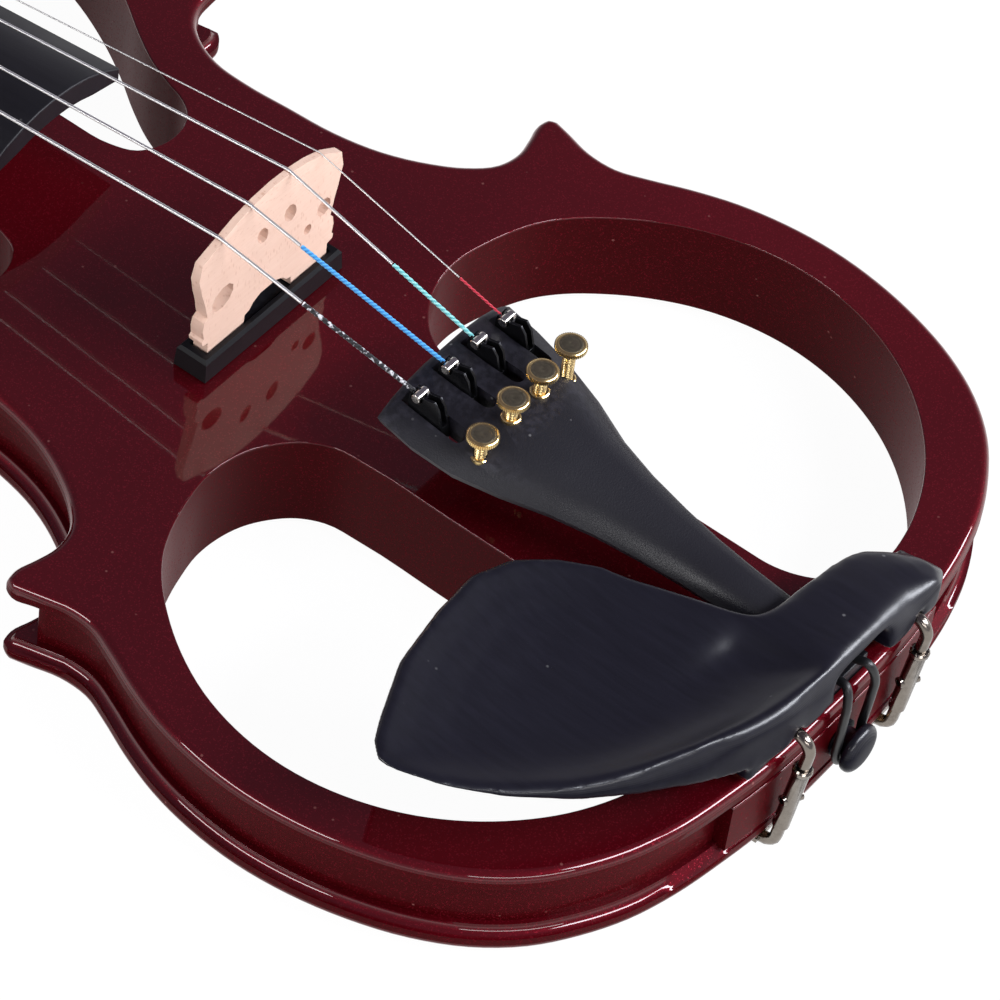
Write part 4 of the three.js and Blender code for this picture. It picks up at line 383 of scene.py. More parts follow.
class Growth:
    """Geometry trees for what follows a path or repeats, each built once."""

    def __init__(self) -> None:
        """Builds every tree."""
        self.thread = self._thread()
        self.ridges = self._ridges()
        self.screws = self._screws()

    @staticmethod
    def _start(name: str, inputs: Sequence[tuple[str, str, object]]
               ) -> tuple[bpy.types.NodeTree, Tree, bpy.types.NodeOutputs]:
        """Starts a geometry tree.

        Args:
            name: The tree's name.
            inputs: Name, socket type and default value of each input after the geometry.

        Returns:
            The node group, its tree helper and its input sockets.
        """
        group = bpy.data.node_groups.new(name, "GeometryNodeTree")
        group.is_modifier = True
        group.interface.new_socket("Geometry", in_out="INPUT", socket_type="NodeSocketGeometry")
        for title, kind, value in inputs:
            socket = group.interface.new_socket(title, in_out="INPUT", socket_type=kind)
            socket.default_value = value
        group.interface.new_socket("Finish", in_out="INPUT", socket_type="NodeSocketMaterial")
        group.interface.new_socket("Geometry", in_out="OUTPUT", socket_type="NodeSocketGeometry")
        tree = Tree(group)
        return group, tree, tree.add("NodeGroupInput").outputs

    @staticmethod
    def _end(tree: Tree, shape: bpy.types.NodeSocket, finish: bpy.types.NodeSocket) -> None:
        """Ends a geometry tree with real faces that carry the finish.

        Args:
            tree: The tree helper.
            shape: The geometry so far.
            finish: The material input.
        """
        faces = tree.add("GeometryNodeRealizeInstances", {0: shape}).outputs[0]
        dressed = tree.add("GeometryNodeSetMaterial", {"Geometry": faces, "Material": finish})
        tree.add("NodeGroupOutput", {0: dressed.outputs[0]})

    @staticmethod
    def _stored(tree: Tree, shape: object, name: str, value: object) -> bpy.types.NodeSocket:
        """Writes a number on each point of a shape.

        Args:
            tree: The tree helper.
            shape: The shape's socket.
            name: The number's name.
            value: The number's socket.

        Returns:
            The shape that carries the number.
        """
        return tree.add("GeometryNodeStoreNamedAttribute", {
            "Geometry": shape, "Name": name, "Value": value}, data_type="FLOAT",
            domain="POINT").outputs[0]

    @staticmethod
    def _read(tree: Tree, name: str) -> bpy.types.NodeSocket:
        """Reads a number that each point carries."""
        return tree.add("GeometryNodeInputNamedAttribute", {"Name": name},
                        data_type="FLOAT").outputs[0]

    @staticmethod
    def _moved(tree: Tree, shape: bpy.types.NodeSocket, shift: object) -> bpy.types.NodeSocket:
        """Moves a shape by a vector."""
        return tree.add("GeometryNodeTransform", {
            "Geometry": shape, "Translation": shift}).outputs[0]

    def _thread(self) -> bpy.types.NodeTree:
        """A tube along a path, with strands that wind round it.

        Returns:
            The tree, with inputs Sides, Pitch, Strands, Ridge and Step.
        """
        group, tree, given = self._start("spun_thread", [
            ("Sides", WHOLE, 16), ("Pitch", REAL, 0.001), ("Strands", REAL, 1.0),
            ("Ridge", REAL, 0.0), ("Step", REAL, 0.002)])
        line = tree.add("GeometryNodeMeshToCurve", {0: given["Geometry"]}).outputs[0]
        line = tree.add("GeometryNodeSetCurveRadius", {
            "Curve": line, "Radius": self._read(tree, "girth")}).outputs[0]
        line = tree.add("GeometryNodeResampleCurve", {"Curve": line, "Length": given["Step"]},
                        mode="LENGTH").outputs[0]
        length = tree.add("GeometryNodeSplineParameter").outputs["Length"]
        line = self._stored(tree, line, "along", length)
        circle = tree.add("GeometryNodeCurvePrimitiveCircle", {
            "Resolution": given["Sides"], "Radius": 1.0}).outputs[0]
        share = tree.add("GeometryNodeSplineParameter").outputs["Factor"]
        circle = self._stored(tree, circle, "around", share)
        sweep = tree.add("GeometryNodeCurveToMesh", {
            "Curve": line, "Profile Curve": circle, "Fill Caps": True,
            "Scale": tree.add("GeometryNodeInputRadius").outputs[0]})
        turns = tree.math("ADD", tree.math("DIVIDE", self._read(tree, "along"), given["Pitch"]),
                          tree.math("MULTIPLY", self._read(tree, "around"), given["Strands"]))
        wave = tree.math("SINE", tree.math("MULTIPLY", turns, 2 * math.pi))
        rise = tree.math("MULTIPLY", tree.math("SUBTRACT", wave, 1.0), given["Ridge"])
        normal = tree.add("GeometryNodeInputNormal").outputs[0]
        marked = self._stored(tree, sweep.outputs[0], "strand", wave)
        moved = tree.add("GeometryNodeSetPosition", {
            "Geometry": marked, "Offset": tree.vector("SCALE", normal, rise)}).outputs[0]
        smooth = tree.add("GeometryNodeSetShadeSmooth", {0: moved, "Shade Smooth": True})
        self._end(tree, smooth.outputs[0], given["Finish"])
        return group

    def _ridges(self) -> bpy.types.NodeTree:
        """A ring of upright ridges round a turned piece.

        Returns:
            The tree, with inputs Radius, Height, Width, Count and Centre.
        """
        group, tree, given = self._start("ridge_ring", [
            ("Radius", REAL, 0.003), ("Height", REAL, 0.001), ("Width", REAL, 0.0005),
            ("Count", WHOLE, 40), ("Centre", ARROW, (0.0, 0.0, 0.0))])
        circle = tree.add("GeometryNodeMeshCircle", {
            "Vertices": given["Count"], "Radius": given["Radius"]}).outputs[0]
        ridge = tree.add("GeometryNodeMeshCylinder", {
            "Vertices": 6, "Radius": tree.math("MULTIPLY", given["Width"], 0.5),
            "Depth": given["Height"]}).outputs[0]
        copies = tree.add("GeometryNodeInstanceOnPoints", {
            "Points": circle, "Instance": ridge}).outputs[0]
        joined = tree.add("GeometryNodeJoinGeometry")
        for shape in (given["Geometry"], self._moved(tree, copies, given["Centre"])):
            tree.feed(joined.inputs[0], shape)
        self._end(tree, joined.outputs[0], given["Finish"])
        return group

    def _screws(self) -> bpy.types.NodeTree:
        """Countersunk screws with cross recesses, one at each point of the start mesh.

        Returns:
            The tree, with inputs Head Radius, Head Height, Shank Radius and Length.
        """
        group, tree, given = self._start("cross_screws", [
            ("Head Radius", REAL, 0.002), ("Head Height", REAL, 0.001),
            ("Shank Radius", REAL, 0.001), ("Length", REAL, 0.009)])
        disc = tree.add("GeometryNodeMeshCylinder", {
            "Vertices": 32, "Radius": given["Head Radius"], "Depth": given["Head Height"]})
        half = tree.math("MULTIPLY", given["Head Height"], 0.5)
        head = self._moved(tree, disc.outputs[0],
                           tree.add("ShaderNodeCombineXYZ", {"Z": half}).outputs[0])
        long = tree.math("MULTIPLY", given["Head Radius"], 1.15)
        slim = tree.math("MULTIPLY", given["Head Radius"], 0.24)
        deep = tree.math("MULTIPLY", given["Head Height"], 0.9)
        cut = tree.add("GeometryNodeMeshBoolean", operation="DIFFERENCE", solver="EXACT")
        tree.feed(cut.inputs[0], head)
        for size_x, size_y in ((long, slim), (slim, long)):
            size = tree.add("ShaderNodeCombineXYZ", {"X": size_x, "Y": size_y, "Z": deep})
            bar = tree.add("GeometryNodeMeshCube", {"Size": size.outputs[0]})
            tree.feed(cut.inputs[1], bar.outputs[0])
        rod = tree.add("GeometryNodeMeshCylinder", {
            "Vertices": 20, "Radius": given["Shank Radius"], "Depth": given["Length"]})
        reach = tree.math("ADD", tree.math("MULTIPLY", given["Length"], 0.5),
                          tree.math("MULTIPLY", given["Head Height"], 0.98))
        shank = self._moved(tree, rod.outputs[0],
                            tree.add("ShaderNodeCombineXYZ", {"Z": reach}).outputs[0])
        screw = tree.add("GeometryNodeJoinGeometry")
        for shape in (cut.outputs[0], shank):
            tree.feed(screw.inputs[0], shape)
        copies = tree.add("GeometryNodeInstanceOnPoints", {
            "Points": given["Geometry"], "Instance": screw.outputs[0]}).outputs[0]
        self._end(tree, copies, given["Finish"])
        return group


# Finishes


class Finish:
    """A finish that makes its material once and hands it out."""

    name: str = "finish"

    def material(self, effects: Effects) -> bpy.types.Material:
        """Gives the finish's material.

        Args:
            effects: The shared node groups.

        Returns:
            The material, made on the first call.
        """
        made = bpy.data.materials.get(self.name)
        if made:
            return made
        made = bpy.data.materials.new(self.name)
        tree = emptied(made)
        shader = tree.add("ShaderNodeBsdfPrincipled")
        tree.add("ShaderNodeOutputMaterial", {"Surface": shader.outputs[0]})
        self.dress(tree, shader, effects)
        return made

    def dress(self, tree: Tree, shader: bpy.types.Node, effects: Effects) -> None:
        """Fills the shader's sockets.

        Args:
            tree: The material's tree.
            shader: Its Principled BSDF.
            effects: The shared node groups.
        """
        raise NotImplementedError

    @staticmethod
    def fill(tree: Tree, node: bpy.types.Node, **values: object) -> bpy.types.Node:
        """Joins or sets a node's inputs.

        Args:
            tree: The material's tree.
            node: The node.
            values: Sockets and plain values by input name, with underscores for spaces.

        Returns:
            The same node.
        """
        for key, value in values.items():
            tree.feed(node.inputs[key.replace("_", " ")], value)
        return node

    def effect(self, tree: Tree, group: bpy.types.NodeTree,
               **values: object) -> bpy.types.NodeOutputs:
        """Places a shared group.

        Args:
            tree: The material's tree.
            group: The group.
            values: Its inputs, with underscores for spaces.

        Returns:
            The group's outputs.
        """
        return self.fill(tree, tree.add("ShaderNodeGroup", node_tree=group), **values).outputs

    @staticmethod
    def bump(tree: Tree, height: object, depth: float) -> bpy.types.NodeSocket:
        """Turns a height into a normal.

        Args:
            tree: The material's tree.
            height: The height's socket.
            depth: The bump's depth in millimetres.

        Returns:
            The normal's socket.
        """
        return tree.add("ShaderNodeBump", {
            "Height": height, "Strength": 1.0, "Distance": depth / 1000}).outputs[0]

    @staticmethod
    def paler(colour: Colour, factor: float, step: float) -> Colour:
        """Makes a colour paler."""
        return tuple(part * factor + step for part in colour)


@dataclass(frozen=True)
class Lacquer(Finish):
    """Clear gloss over a dark red coat with fine metal flake."""

    name: str = "dark_red_flake_lacquer"
    deep: Colour = (0.070, 0.0016, 0.0046)
    warm: Colour = (0.118, 0.0020, 0.0056)
    # Painted shade: upright walls get this darker red in place of the shade they lie in.
    wall_painted_shade: Colour = (0.046, 0.0010, 0.0022)
    bright: Colour = (0.55, 0.03, 0.06)
    dust: Colour = (0.42, 0.16, 0.14)
    sheen: Colour = (1.0, 0.22, 0.26)
    flake_scale: float = 4200.0
    flake_share: float = 0.10
    steep: float = 0.05
    level: float = 0.3
    wall_gloss: float = 0.03
    wall_metal: float = 0.12
    metal: float = 0.42
    roughness: float = 0.36
    patchiness: float = 0.05
    specular: float = 0.03
    coat_roughness: float = 0.04
    coat_ior: float = 1.5

    def dress(self, tree: Tree, shader: bpy.types.Node, effects: Effects) -> None:
        """Fills the shader: flake below, gloss above that is thinner on upright walls, and
        painted shade: a darker red on upright walls.
        """
        flake = self.effect(tree, effects.flake, Scale=self.flake_scale, Tilt=0.35, Share=0.9)
        patch = self.effect(tree, effects.grain, Scale=1500.0, Patch_Scale=14.0)["Patch"]
        dust = self.effect(tree, effects.speckle, Scale=420.0, Amount=0.4)["Mask"]
        flat = tree.ramp(tree.rise(), self.steep, self.level)
        lit = tree.mix(tree.math("MULTIPLY", patch, 0.5), self.deep, self.warm)
        # Level faces take the patchy red; upright walls take the darker wall red, a painted
        # shade.
        red = tree.mix(tree.math("MULTIPLY", flake["Mask"], self.flake_share),
                       tree.mix(flat, self.wall_painted_shade, lit), self.bright)
        self.fill(tree, shader, Base_Color=tree.mix(dust, red, self.dust),
                  Roughness=tree.line(patch, self.patchiness, self.roughness),
                  Metallic=tree.line(flat, self.metal - self.wall_metal, self.wall_metal),
                  Coat_Weight=tree.line(flat, 1 - self.wall_gloss, self.wall_gloss),
                  Coat_Roughness=self.coat_roughness, Coat_IOR=self.coat_ior,
                  Specular_IOR_Level=self.specular, Specular_Tint=self.sheen,
                  Normal=flake["Normal"])


@dataclass(frozen=True)
class BlackWood(Finish):
    """Stained hardwood, oiled or sprayed black."""

    name: str = "satin_black_wood"
    colour: Colour = (0.0050, 0.0045, 0.0065)
    dust: Colour = (0.2, 0.2, 0.2)
    roughness: float = 0.38
    patchiness: float = 0.10
    stretch: Colour = (700.0, 40.0, 700.0)
    fleck_stretch: Colour = (500.0, 60.0, 500.0)
    grain_share: float = 0.6
    depth: float = 0.012
    steep: float = 0.15
    level: float = 0.6
    coat: float = 0.15
    coat_roughness: float = 0.3
    specular: float = 0.35

    def dress(self, tree: Tree, shader: bpy.types.Node, effects: Effects) -> None:
        """Fills the shader: dark streaks, faint pores, dust and handling."""
        fibre = self.effect(tree, effects.fibre, Stretch=self.stretch,
                            Fleck_Stretch=self.fleck_stretch)
        grain = self.effect(tree, effects.grain, Scale=2600.0, Patch_Scale=40.0)
        dust = self.effect(tree, effects.speckle, Scale=330.0, Amount=0.5)["Mask"]
        streaked = tree.mix(tree.math("MULTIPLY", fibre["Streak"], 0.5), self.colour,
                            self.paler(self.colour, 1.9, 0.002))
        coat = tree.math("MULTIPLY", tree.ramp(tree.rise(), self.steep, self.level), self.coat)
        height = tree.math("ADD", fibre["Height"],
                           tree.math("MULTIPLY", grain["Height"], self.grain_share))
        self.fill(tree, shader, Base_Color=tree.mix(dust, streaked, self.dust),
                  Roughness=tree.line(grain["Patch"], self.patchiness, self.roughness),
                  Coat_Weight=coat, Coat_Roughness=self.coat_roughness,
                  Specular_IOR_Level=self.specular,
                  Normal=self.bump(tree, height, self.depth))


@dataclass(frozen=True)
class PaleMaple(Finish):
    """Pale maple with short darker flecks, as on a bridge."""

    name: str = "pale_maple"
    light: Colour = (0.80, 0.560, 0.44)
    streaked: Colour = (0.72, 0.46, 0.34)
    dark: Colour = (0.55, 0.29, 0.19)
    streak_share: float = 0.45
    fleck_share: float = 0.55
    roughness: float = 0.55
    specular: float = 0.35
    depth: float = 0.03

    def dress(self, tree: Tree, shader: bpy.types.Node, effects: Effects) -> None:
        """Fills the shader: ray flecks across a streaked ground."""
        fibre = self.effect(tree, effects.fibre, Stretch=(110.0, 900.0, 1300.0),
                            Fleck_Stretch=(620.0, 500.0, 1500.0))
        rays = self.effect(tree, effects.fibre, Stretch=(300.0, 700.0, 2600.0),
                           Fleck_Stretch=(1500.0, 900.0, 420.0))
        ground = tree.mix(tree.math("MULTIPLY", fibre["Streak"], self.streak_share), self.light,
                          self.streaked)
        share = tree.math("MULTIPLY", tree.math("MAXIMUM", fibre["Fleck"], rays["Fleck"]),
                          self.fleck_share)
        self.fill(tree, shader, Base_Color=tree.mix(share, ground, self.dark),
                  Roughness=self.roughness, Specular_IOR_Level=self.specular,
                  Normal=self.bump(tree, fibre["Height"], self.depth))


@dataclass(frozen=True)
class Moulded(Finish):
    """A black sprayed or moulded surface with a fine even grain."""

    name: str = "fine_grained_black"
    colour: Colour = (0.0060, 0.0055, 0.0090)
    dust: Colour = (0.25, 0.25, 0.25)
    roughness: float = 0.42
    patchiness: float = 0.08
    grain_scale: float = 2600.0
    depth: float = 0.05
    metallic: float = 0.0

    def dress(self, tree: Tree, shader: bpy.types.Node, effects: Effects) -> None:
        """Fills the shader: grain, edges rubbed paler, dust."""
        grain = self.effect(tree, effects.grain, Scale=self.grain_scale, Patch_Scale=45.0)
        wear = self.effect(tree, effects.wear, Start=0.53, End=0.62, Scale=700.0)["Mask"]
        dust = self.effect(tree, effects.speckle, Scale=420.0, Amount=0.55)["Mask"]
        rubbed = tree.mix(tree.math("MULTIPLY", wear, 0.5), self.colour,
                          self.paler(self.colour, 3, 0.01))
        self.fill(tree, shader, Base_Color=tree.mix(dust, rubbed, self.dust),
                  Roughness=tree.line(grain["Patch"], self.patchiness, self.roughness),
                  Metallic=self.metallic, Normal=self.bump(tree, grain["Height"], self.depth))


@dataclass(frozen=True)
class Metal(Finish):
    """Bare or plated metal, worn at the edges and dulled in patches."""

    name: str = "polished_nickel"
    colour: Colour = (0.72, 0.69, 0.64)
    dull: Colour = (0.42, 0.39, 0.35)
    roughness: float = 0.14
    patchiness: float = 0.12
    dullness: float = 0.35
    depth: float = 0.0008

    def dress(self, tree: Tree, shader: bpy.types.Node, effects: Effects) -> None:
        """Fills the shader: dull patches, brighter edges, fine scratches."""
        grain = self.effect(tree, effects.grain, Scale=4200.0, Patch_Scale=420.0)
        wear = self.effect(tree, effects.wear, Start=0.5, End=0.56, Scale=1200.0)["Mask"]
        clean = tree.math("SUBTRACT", 1.0, wear)
        share = tree.math("MULTIPLY", tree.math("MULTIPLY", grain["Patch"], clean), self.dullness)
        self.fill(tree, shader, Base_Color=tree.mix(share, self.colour, self.dull), Metallic=1.0,
                  Roughness=tree.line(grain["Patch"], self.patchiness, self.roughness),
                  Normal=self.bump(tree, grain["Height"], self.depth))


@dataclass(frozen=True)
class WoundWire(Finish):
    """Flat wire wound on a string: fine rings along its length."""

    name: str = "wound_string_wire"
    colour: Colour = (0.90, 0.89, 0.88)
    dull: Colour = (0.62, 0.61, 0.59)
    dullness: float = 0.3
    roughness: float = 0.42
    pitch: float = 0.45
    depth: float = 0.003

    def dress(self, tree: Tree, shader: bpy.types.Node, effects: Effects) -> None:
        """Fills the shader: rings from the length along the string."""
        along = tree.add("ShaderNodeAttribute", attribute_name="along").outputs["Fac"]
        rings = tree.math("SINE", tree.math("MULTIPLY", along, 2 * math.pi * 1000 / self.pitch))
        patch = self.effect(tree, effects.grain, Scale=5000.0, Patch_Scale=90.0)["Patch"]
        share = tree.math("MULTIPLY", patch, self.dullness)
        self.fill(tree, shader, Base_Color=tree.mix(share, self.colour, self.dull), Metallic=1.0,
                  Roughness=self.roughness, Normal=self.bump(tree, rings, self.depth))


@dataclass(frozen=True)
class Silk(Finish):
    """Coloured thread wrapped round a string's end."""

    name: str = "silk_thread"
    colour: Colour = (0.05, 0.35, 0.75)
    second: Colour = (0.10, 0.50, 0.90)
    speckled: float = 0.0
    specks: Colour = (0.75, 0.75, 0.78)
    roughness: float = 0.62
    sheen: float = 0.4
    depth: float = 0.02

    def dress(self, tree: Tree, shader: bpy.types.Node, effects: Effects) -> None:
        """Fills the shader: strands in two tones, with pale specks where asked."""
        strand = tree.add("ShaderNodeAttribute", attribute_name="strand").outputs["Fac"]
        grain = self.effect(tree, effects.grain, Scale=4000.0, Patch_Scale=900.0)
        tone = tree.mix(tree.ramp(strand, low=-0.6, high=0.9), self.colour, self.second)
        share = tree.math("MULTIPLY", tree.ramp(grain["Patch"], low=0.55, high=0.75),
                          self.speckled)
        self.fill(tree, shader, Base_Color=tree.mix(share, tone, self.specks),
                  Roughness=self.roughness, Sheen_Weight=self.sheen, Sheen_Roughness=self.sheen,
                  Normal=self.bump(tree, grain["Height"], self.depth))


@dataclass(frozen=True)
class CorkSheet(Finish):
    """Pressed cork: pale grains with dark gaps."""

    name: str = "pressed_cork"
    brown: Colour = (0.36, 0.19, 0.08)
    pale: Colour = (0.60, 0.38, 0.20)
    gap: Colour = (0.12, 0.06, 0.03)
    grain_scale: float = 900.0
    roughness: float = 0.85
    depth: float = 0.12

    def dress(self, tree: Tree, shader: bpy.types.Node, effects: Effects) -> None:
        """Fills the shader: grains of differing tone."""
        cells = tree.add("ShaderNodeTexVoronoi", {
            "Vector": tree.place(), "Scale": self.grain_scale}).outputs
        grains = tree.mix(tree.channel(cells["Color"], 0), self.brown, self.pale)
        gaps = tree.ramp(cells["Distance"], low=0.35, high=0.7)
        self.fill(tree, shader, Base_Color=tree.mix(gaps, grains, self.gap),
                  Roughness=self.roughness,
                  Normal=self.bump(tree, cells["Distance"], self.depth))


@dataclass(frozen=True)
class Board(Finish):
    """A printed board's green mask over faint copper tracks."""

    name: str = "circuit_mask"
    mask: Colour = (0.01, 0.07, 0.025)
    track: Colour = (0.03, 0.16, 0.06)
    track_scale: float = 420.0
    roughness: float = 0.4

    def dress(self, tree: Tree, shader: bpy.types.Node, effects: Effects) -> None:
        """Fills the shader: tracks in a paler green."""
        cells = tree.add("ShaderNodeTexVoronoi", {
            "Vector": tree.place(), "Scale": self.track_scale}, distance="MANHATTAN",
            feature="F2")
        line = tree.ramp(cells.outputs["Distance"], low=0.75, high=0.8)
        self.fill(tree, shader, Base_Color=tree.mix(line, self.mask, self.track),
                  Roughness=self.roughness)


LACQUER = Lacquer()
EBONY = BlackWood()
BOARD_WOOD = BlackWood(name="oiled_fingerboard", roughness=0.42, depth=0.02, coat=0.05)
CHIN_WOOD = BlackWood(name="sprayed_chinrest", colour=(0.0040, 0.0038, 0.0076), roughness=0.32,
                      depth=0.004, coat=1.0, specular=0.05)
HOUSING_WOOD = BlackWood(name="pickup_bar_black", colour=(0.003, 0.003, 0.004), roughness=0.34,
                         coat=0.0, specular=0.2)
MAPLE = PaleMaple()
TAILPIECE = Moulded()
PLASTIC = Moulded(name="moulded_black_plastic", roughness=0.45, depth=0.02, grain_scale=3600.0)
DARK_METAL = Moulded(name="blackened_metal", colour=(0.012, 0.012, 0.014), roughness=0.26,
                     depth=0.008, metallic=0.7)
BRASS = Metal(name="worn_brass", colour=(0.86, 0.63, 0.28), dull=(0.45, 0.36, 0.2),
              roughness=0.16, dullness=0.5, depth=0.002)
TARNISH = Metal(name="tarnished_brass", colour=(0.40, 0.35, 0.23), dull=(0.16, 0.145, 0.10),
                roughness=0.3, dullness=0.9, depth=0.03)
NICKEL = Metal()
# Its colours sit far below bare nickel: painted shade standing in for the dark surroundings that
# the clamp reflects, with real wear patches on top.
CLAMP_NICKEL = Metal(name="worn_clamp_nickel_painted_dark", colour=(0.25, 0.22, 0.19),
                     dull=(0.12, 0.10, 0.085), roughness=0.12, dullness=0.45, depth=0.0003)
STEEL = WoundWire()
PLAIN_STEEL = Metal(name="plain_string_steel", colour=(0.88, 0.87, 0.85), roughness=0.4,
                    dullness=0.2)
CORK = CorkSheet()
NYLON = Moulded(name="black_nylon", colour=(0.006, 0.006, 0.007), roughness=0.33, depth=0.004)
CIRCUIT = Board()
CELL = Moulded(name="battery_sleeve", colour=(0.02, 0.02, 0.025), roughness=0.35, depth=0.01,
               metallic=0.4)
SILKS = {
    Strings.G: Silk("black_silk", (0.004, 0.004, 0.005), (0.02, 0.02, 0.024), 1.0),
    Strings.D: Silk("blue_silk", (0.03, 0.24, 0.60), (0.10, 0.46, 0.88)),
    Strings.A: Silk("aqua_silk", (0.12, 0.48, 0.50), (0.38, 0.80, 0.78)),
    Strings.E: Silk("red_silk", (0.42, 0.008, 0.025), (0.80, 0.05, 0.09)),
}


# Meshes


def heading(before: Vector, at: Vector, after: Vector, uneven: float = 2.5) -> Vector:
    """Finds the direction of a smooth curve through three points.

    Args:
        before: The point before.
        at: The point where the direction is wanted.
        after: The point after.
        uneven: How many times longer one side is where the other no longer counts.

    Returns:
        A unit vector.
    """
    one, two = at - before, after - at
    if one.length > uneven * two.length:
        return one.normalized()
    if two.length > uneven * one.length:
        return two.normalized()
    return (one.normalized() * two.length + two.normalized() * one.length).normalized()


def bend(before: Vector | None, a: Vector, b: Vector, after: Vector | None,
         cuts: int) -> list[Vector]:
    """Finds points on the smooth curve between two neighbours of a chain.

    Args:
        before: The point before the first, or None where the chain ends or has a corner.
        a: The first point.
        b: The second point.
        after: The point after the second, or None.
        cuts: How many points to find.

    Returns:
        The points, from the first neighbour to the second, without the two.
    """
    chord = b - a
    line = chord.normalized()
    start = heading(before, a, b) if before is not None else None
    end = heading(a, b, after) if after is not None else None
    if start is None:
        start = line if end is None else 2 * line.dot(end) * line - end
    if end is None:
        end = 2 * line.dot(start) * line - start
    reach = chord.length / 3
    return interpolate_bezier(a, a + start * reach, b - end * reach, b, cuts + 2)[1:-1]


def eased_path(points: Sequence[Vector], cuts: int = 3, corner: float = 60.0,
               longest: float = 5.0) -> list[Vector]:
    """Adds points to a path so that it bends smoothly.

    Args:
        points: The path's points.
        cuts: New points in each step.
        corner: A turn sharper than this, in degrees, stays a corner.
        longest: A step longer than this, in millimetres, stays straight.

    Returns:
        The denser path.
    """
    def smooth(i: int) -> bool:
        """Tells whether the path runs on smoothly through a point."""
        if not 0 < i < len(points) - 1:
            return False
        turn = (points[i] - points[i - 1]).angle(points[i + 1] - points[i])
        return turn < math.radians(corner)

    made = [points[0]]
    for i in range(len(points) - 1):
        if (points[i + 1] - points[i]).length > longest / 1000:
            made.append(points[i + 1])
            continue
        before = points[i - 1] if smooth(i) else None
        after = points[i + 2] if smooth(i + 1) else None
        made += bend(before, points[i], points[i + 1], after, cuts)
        made.append(points[i + 1])
    return made


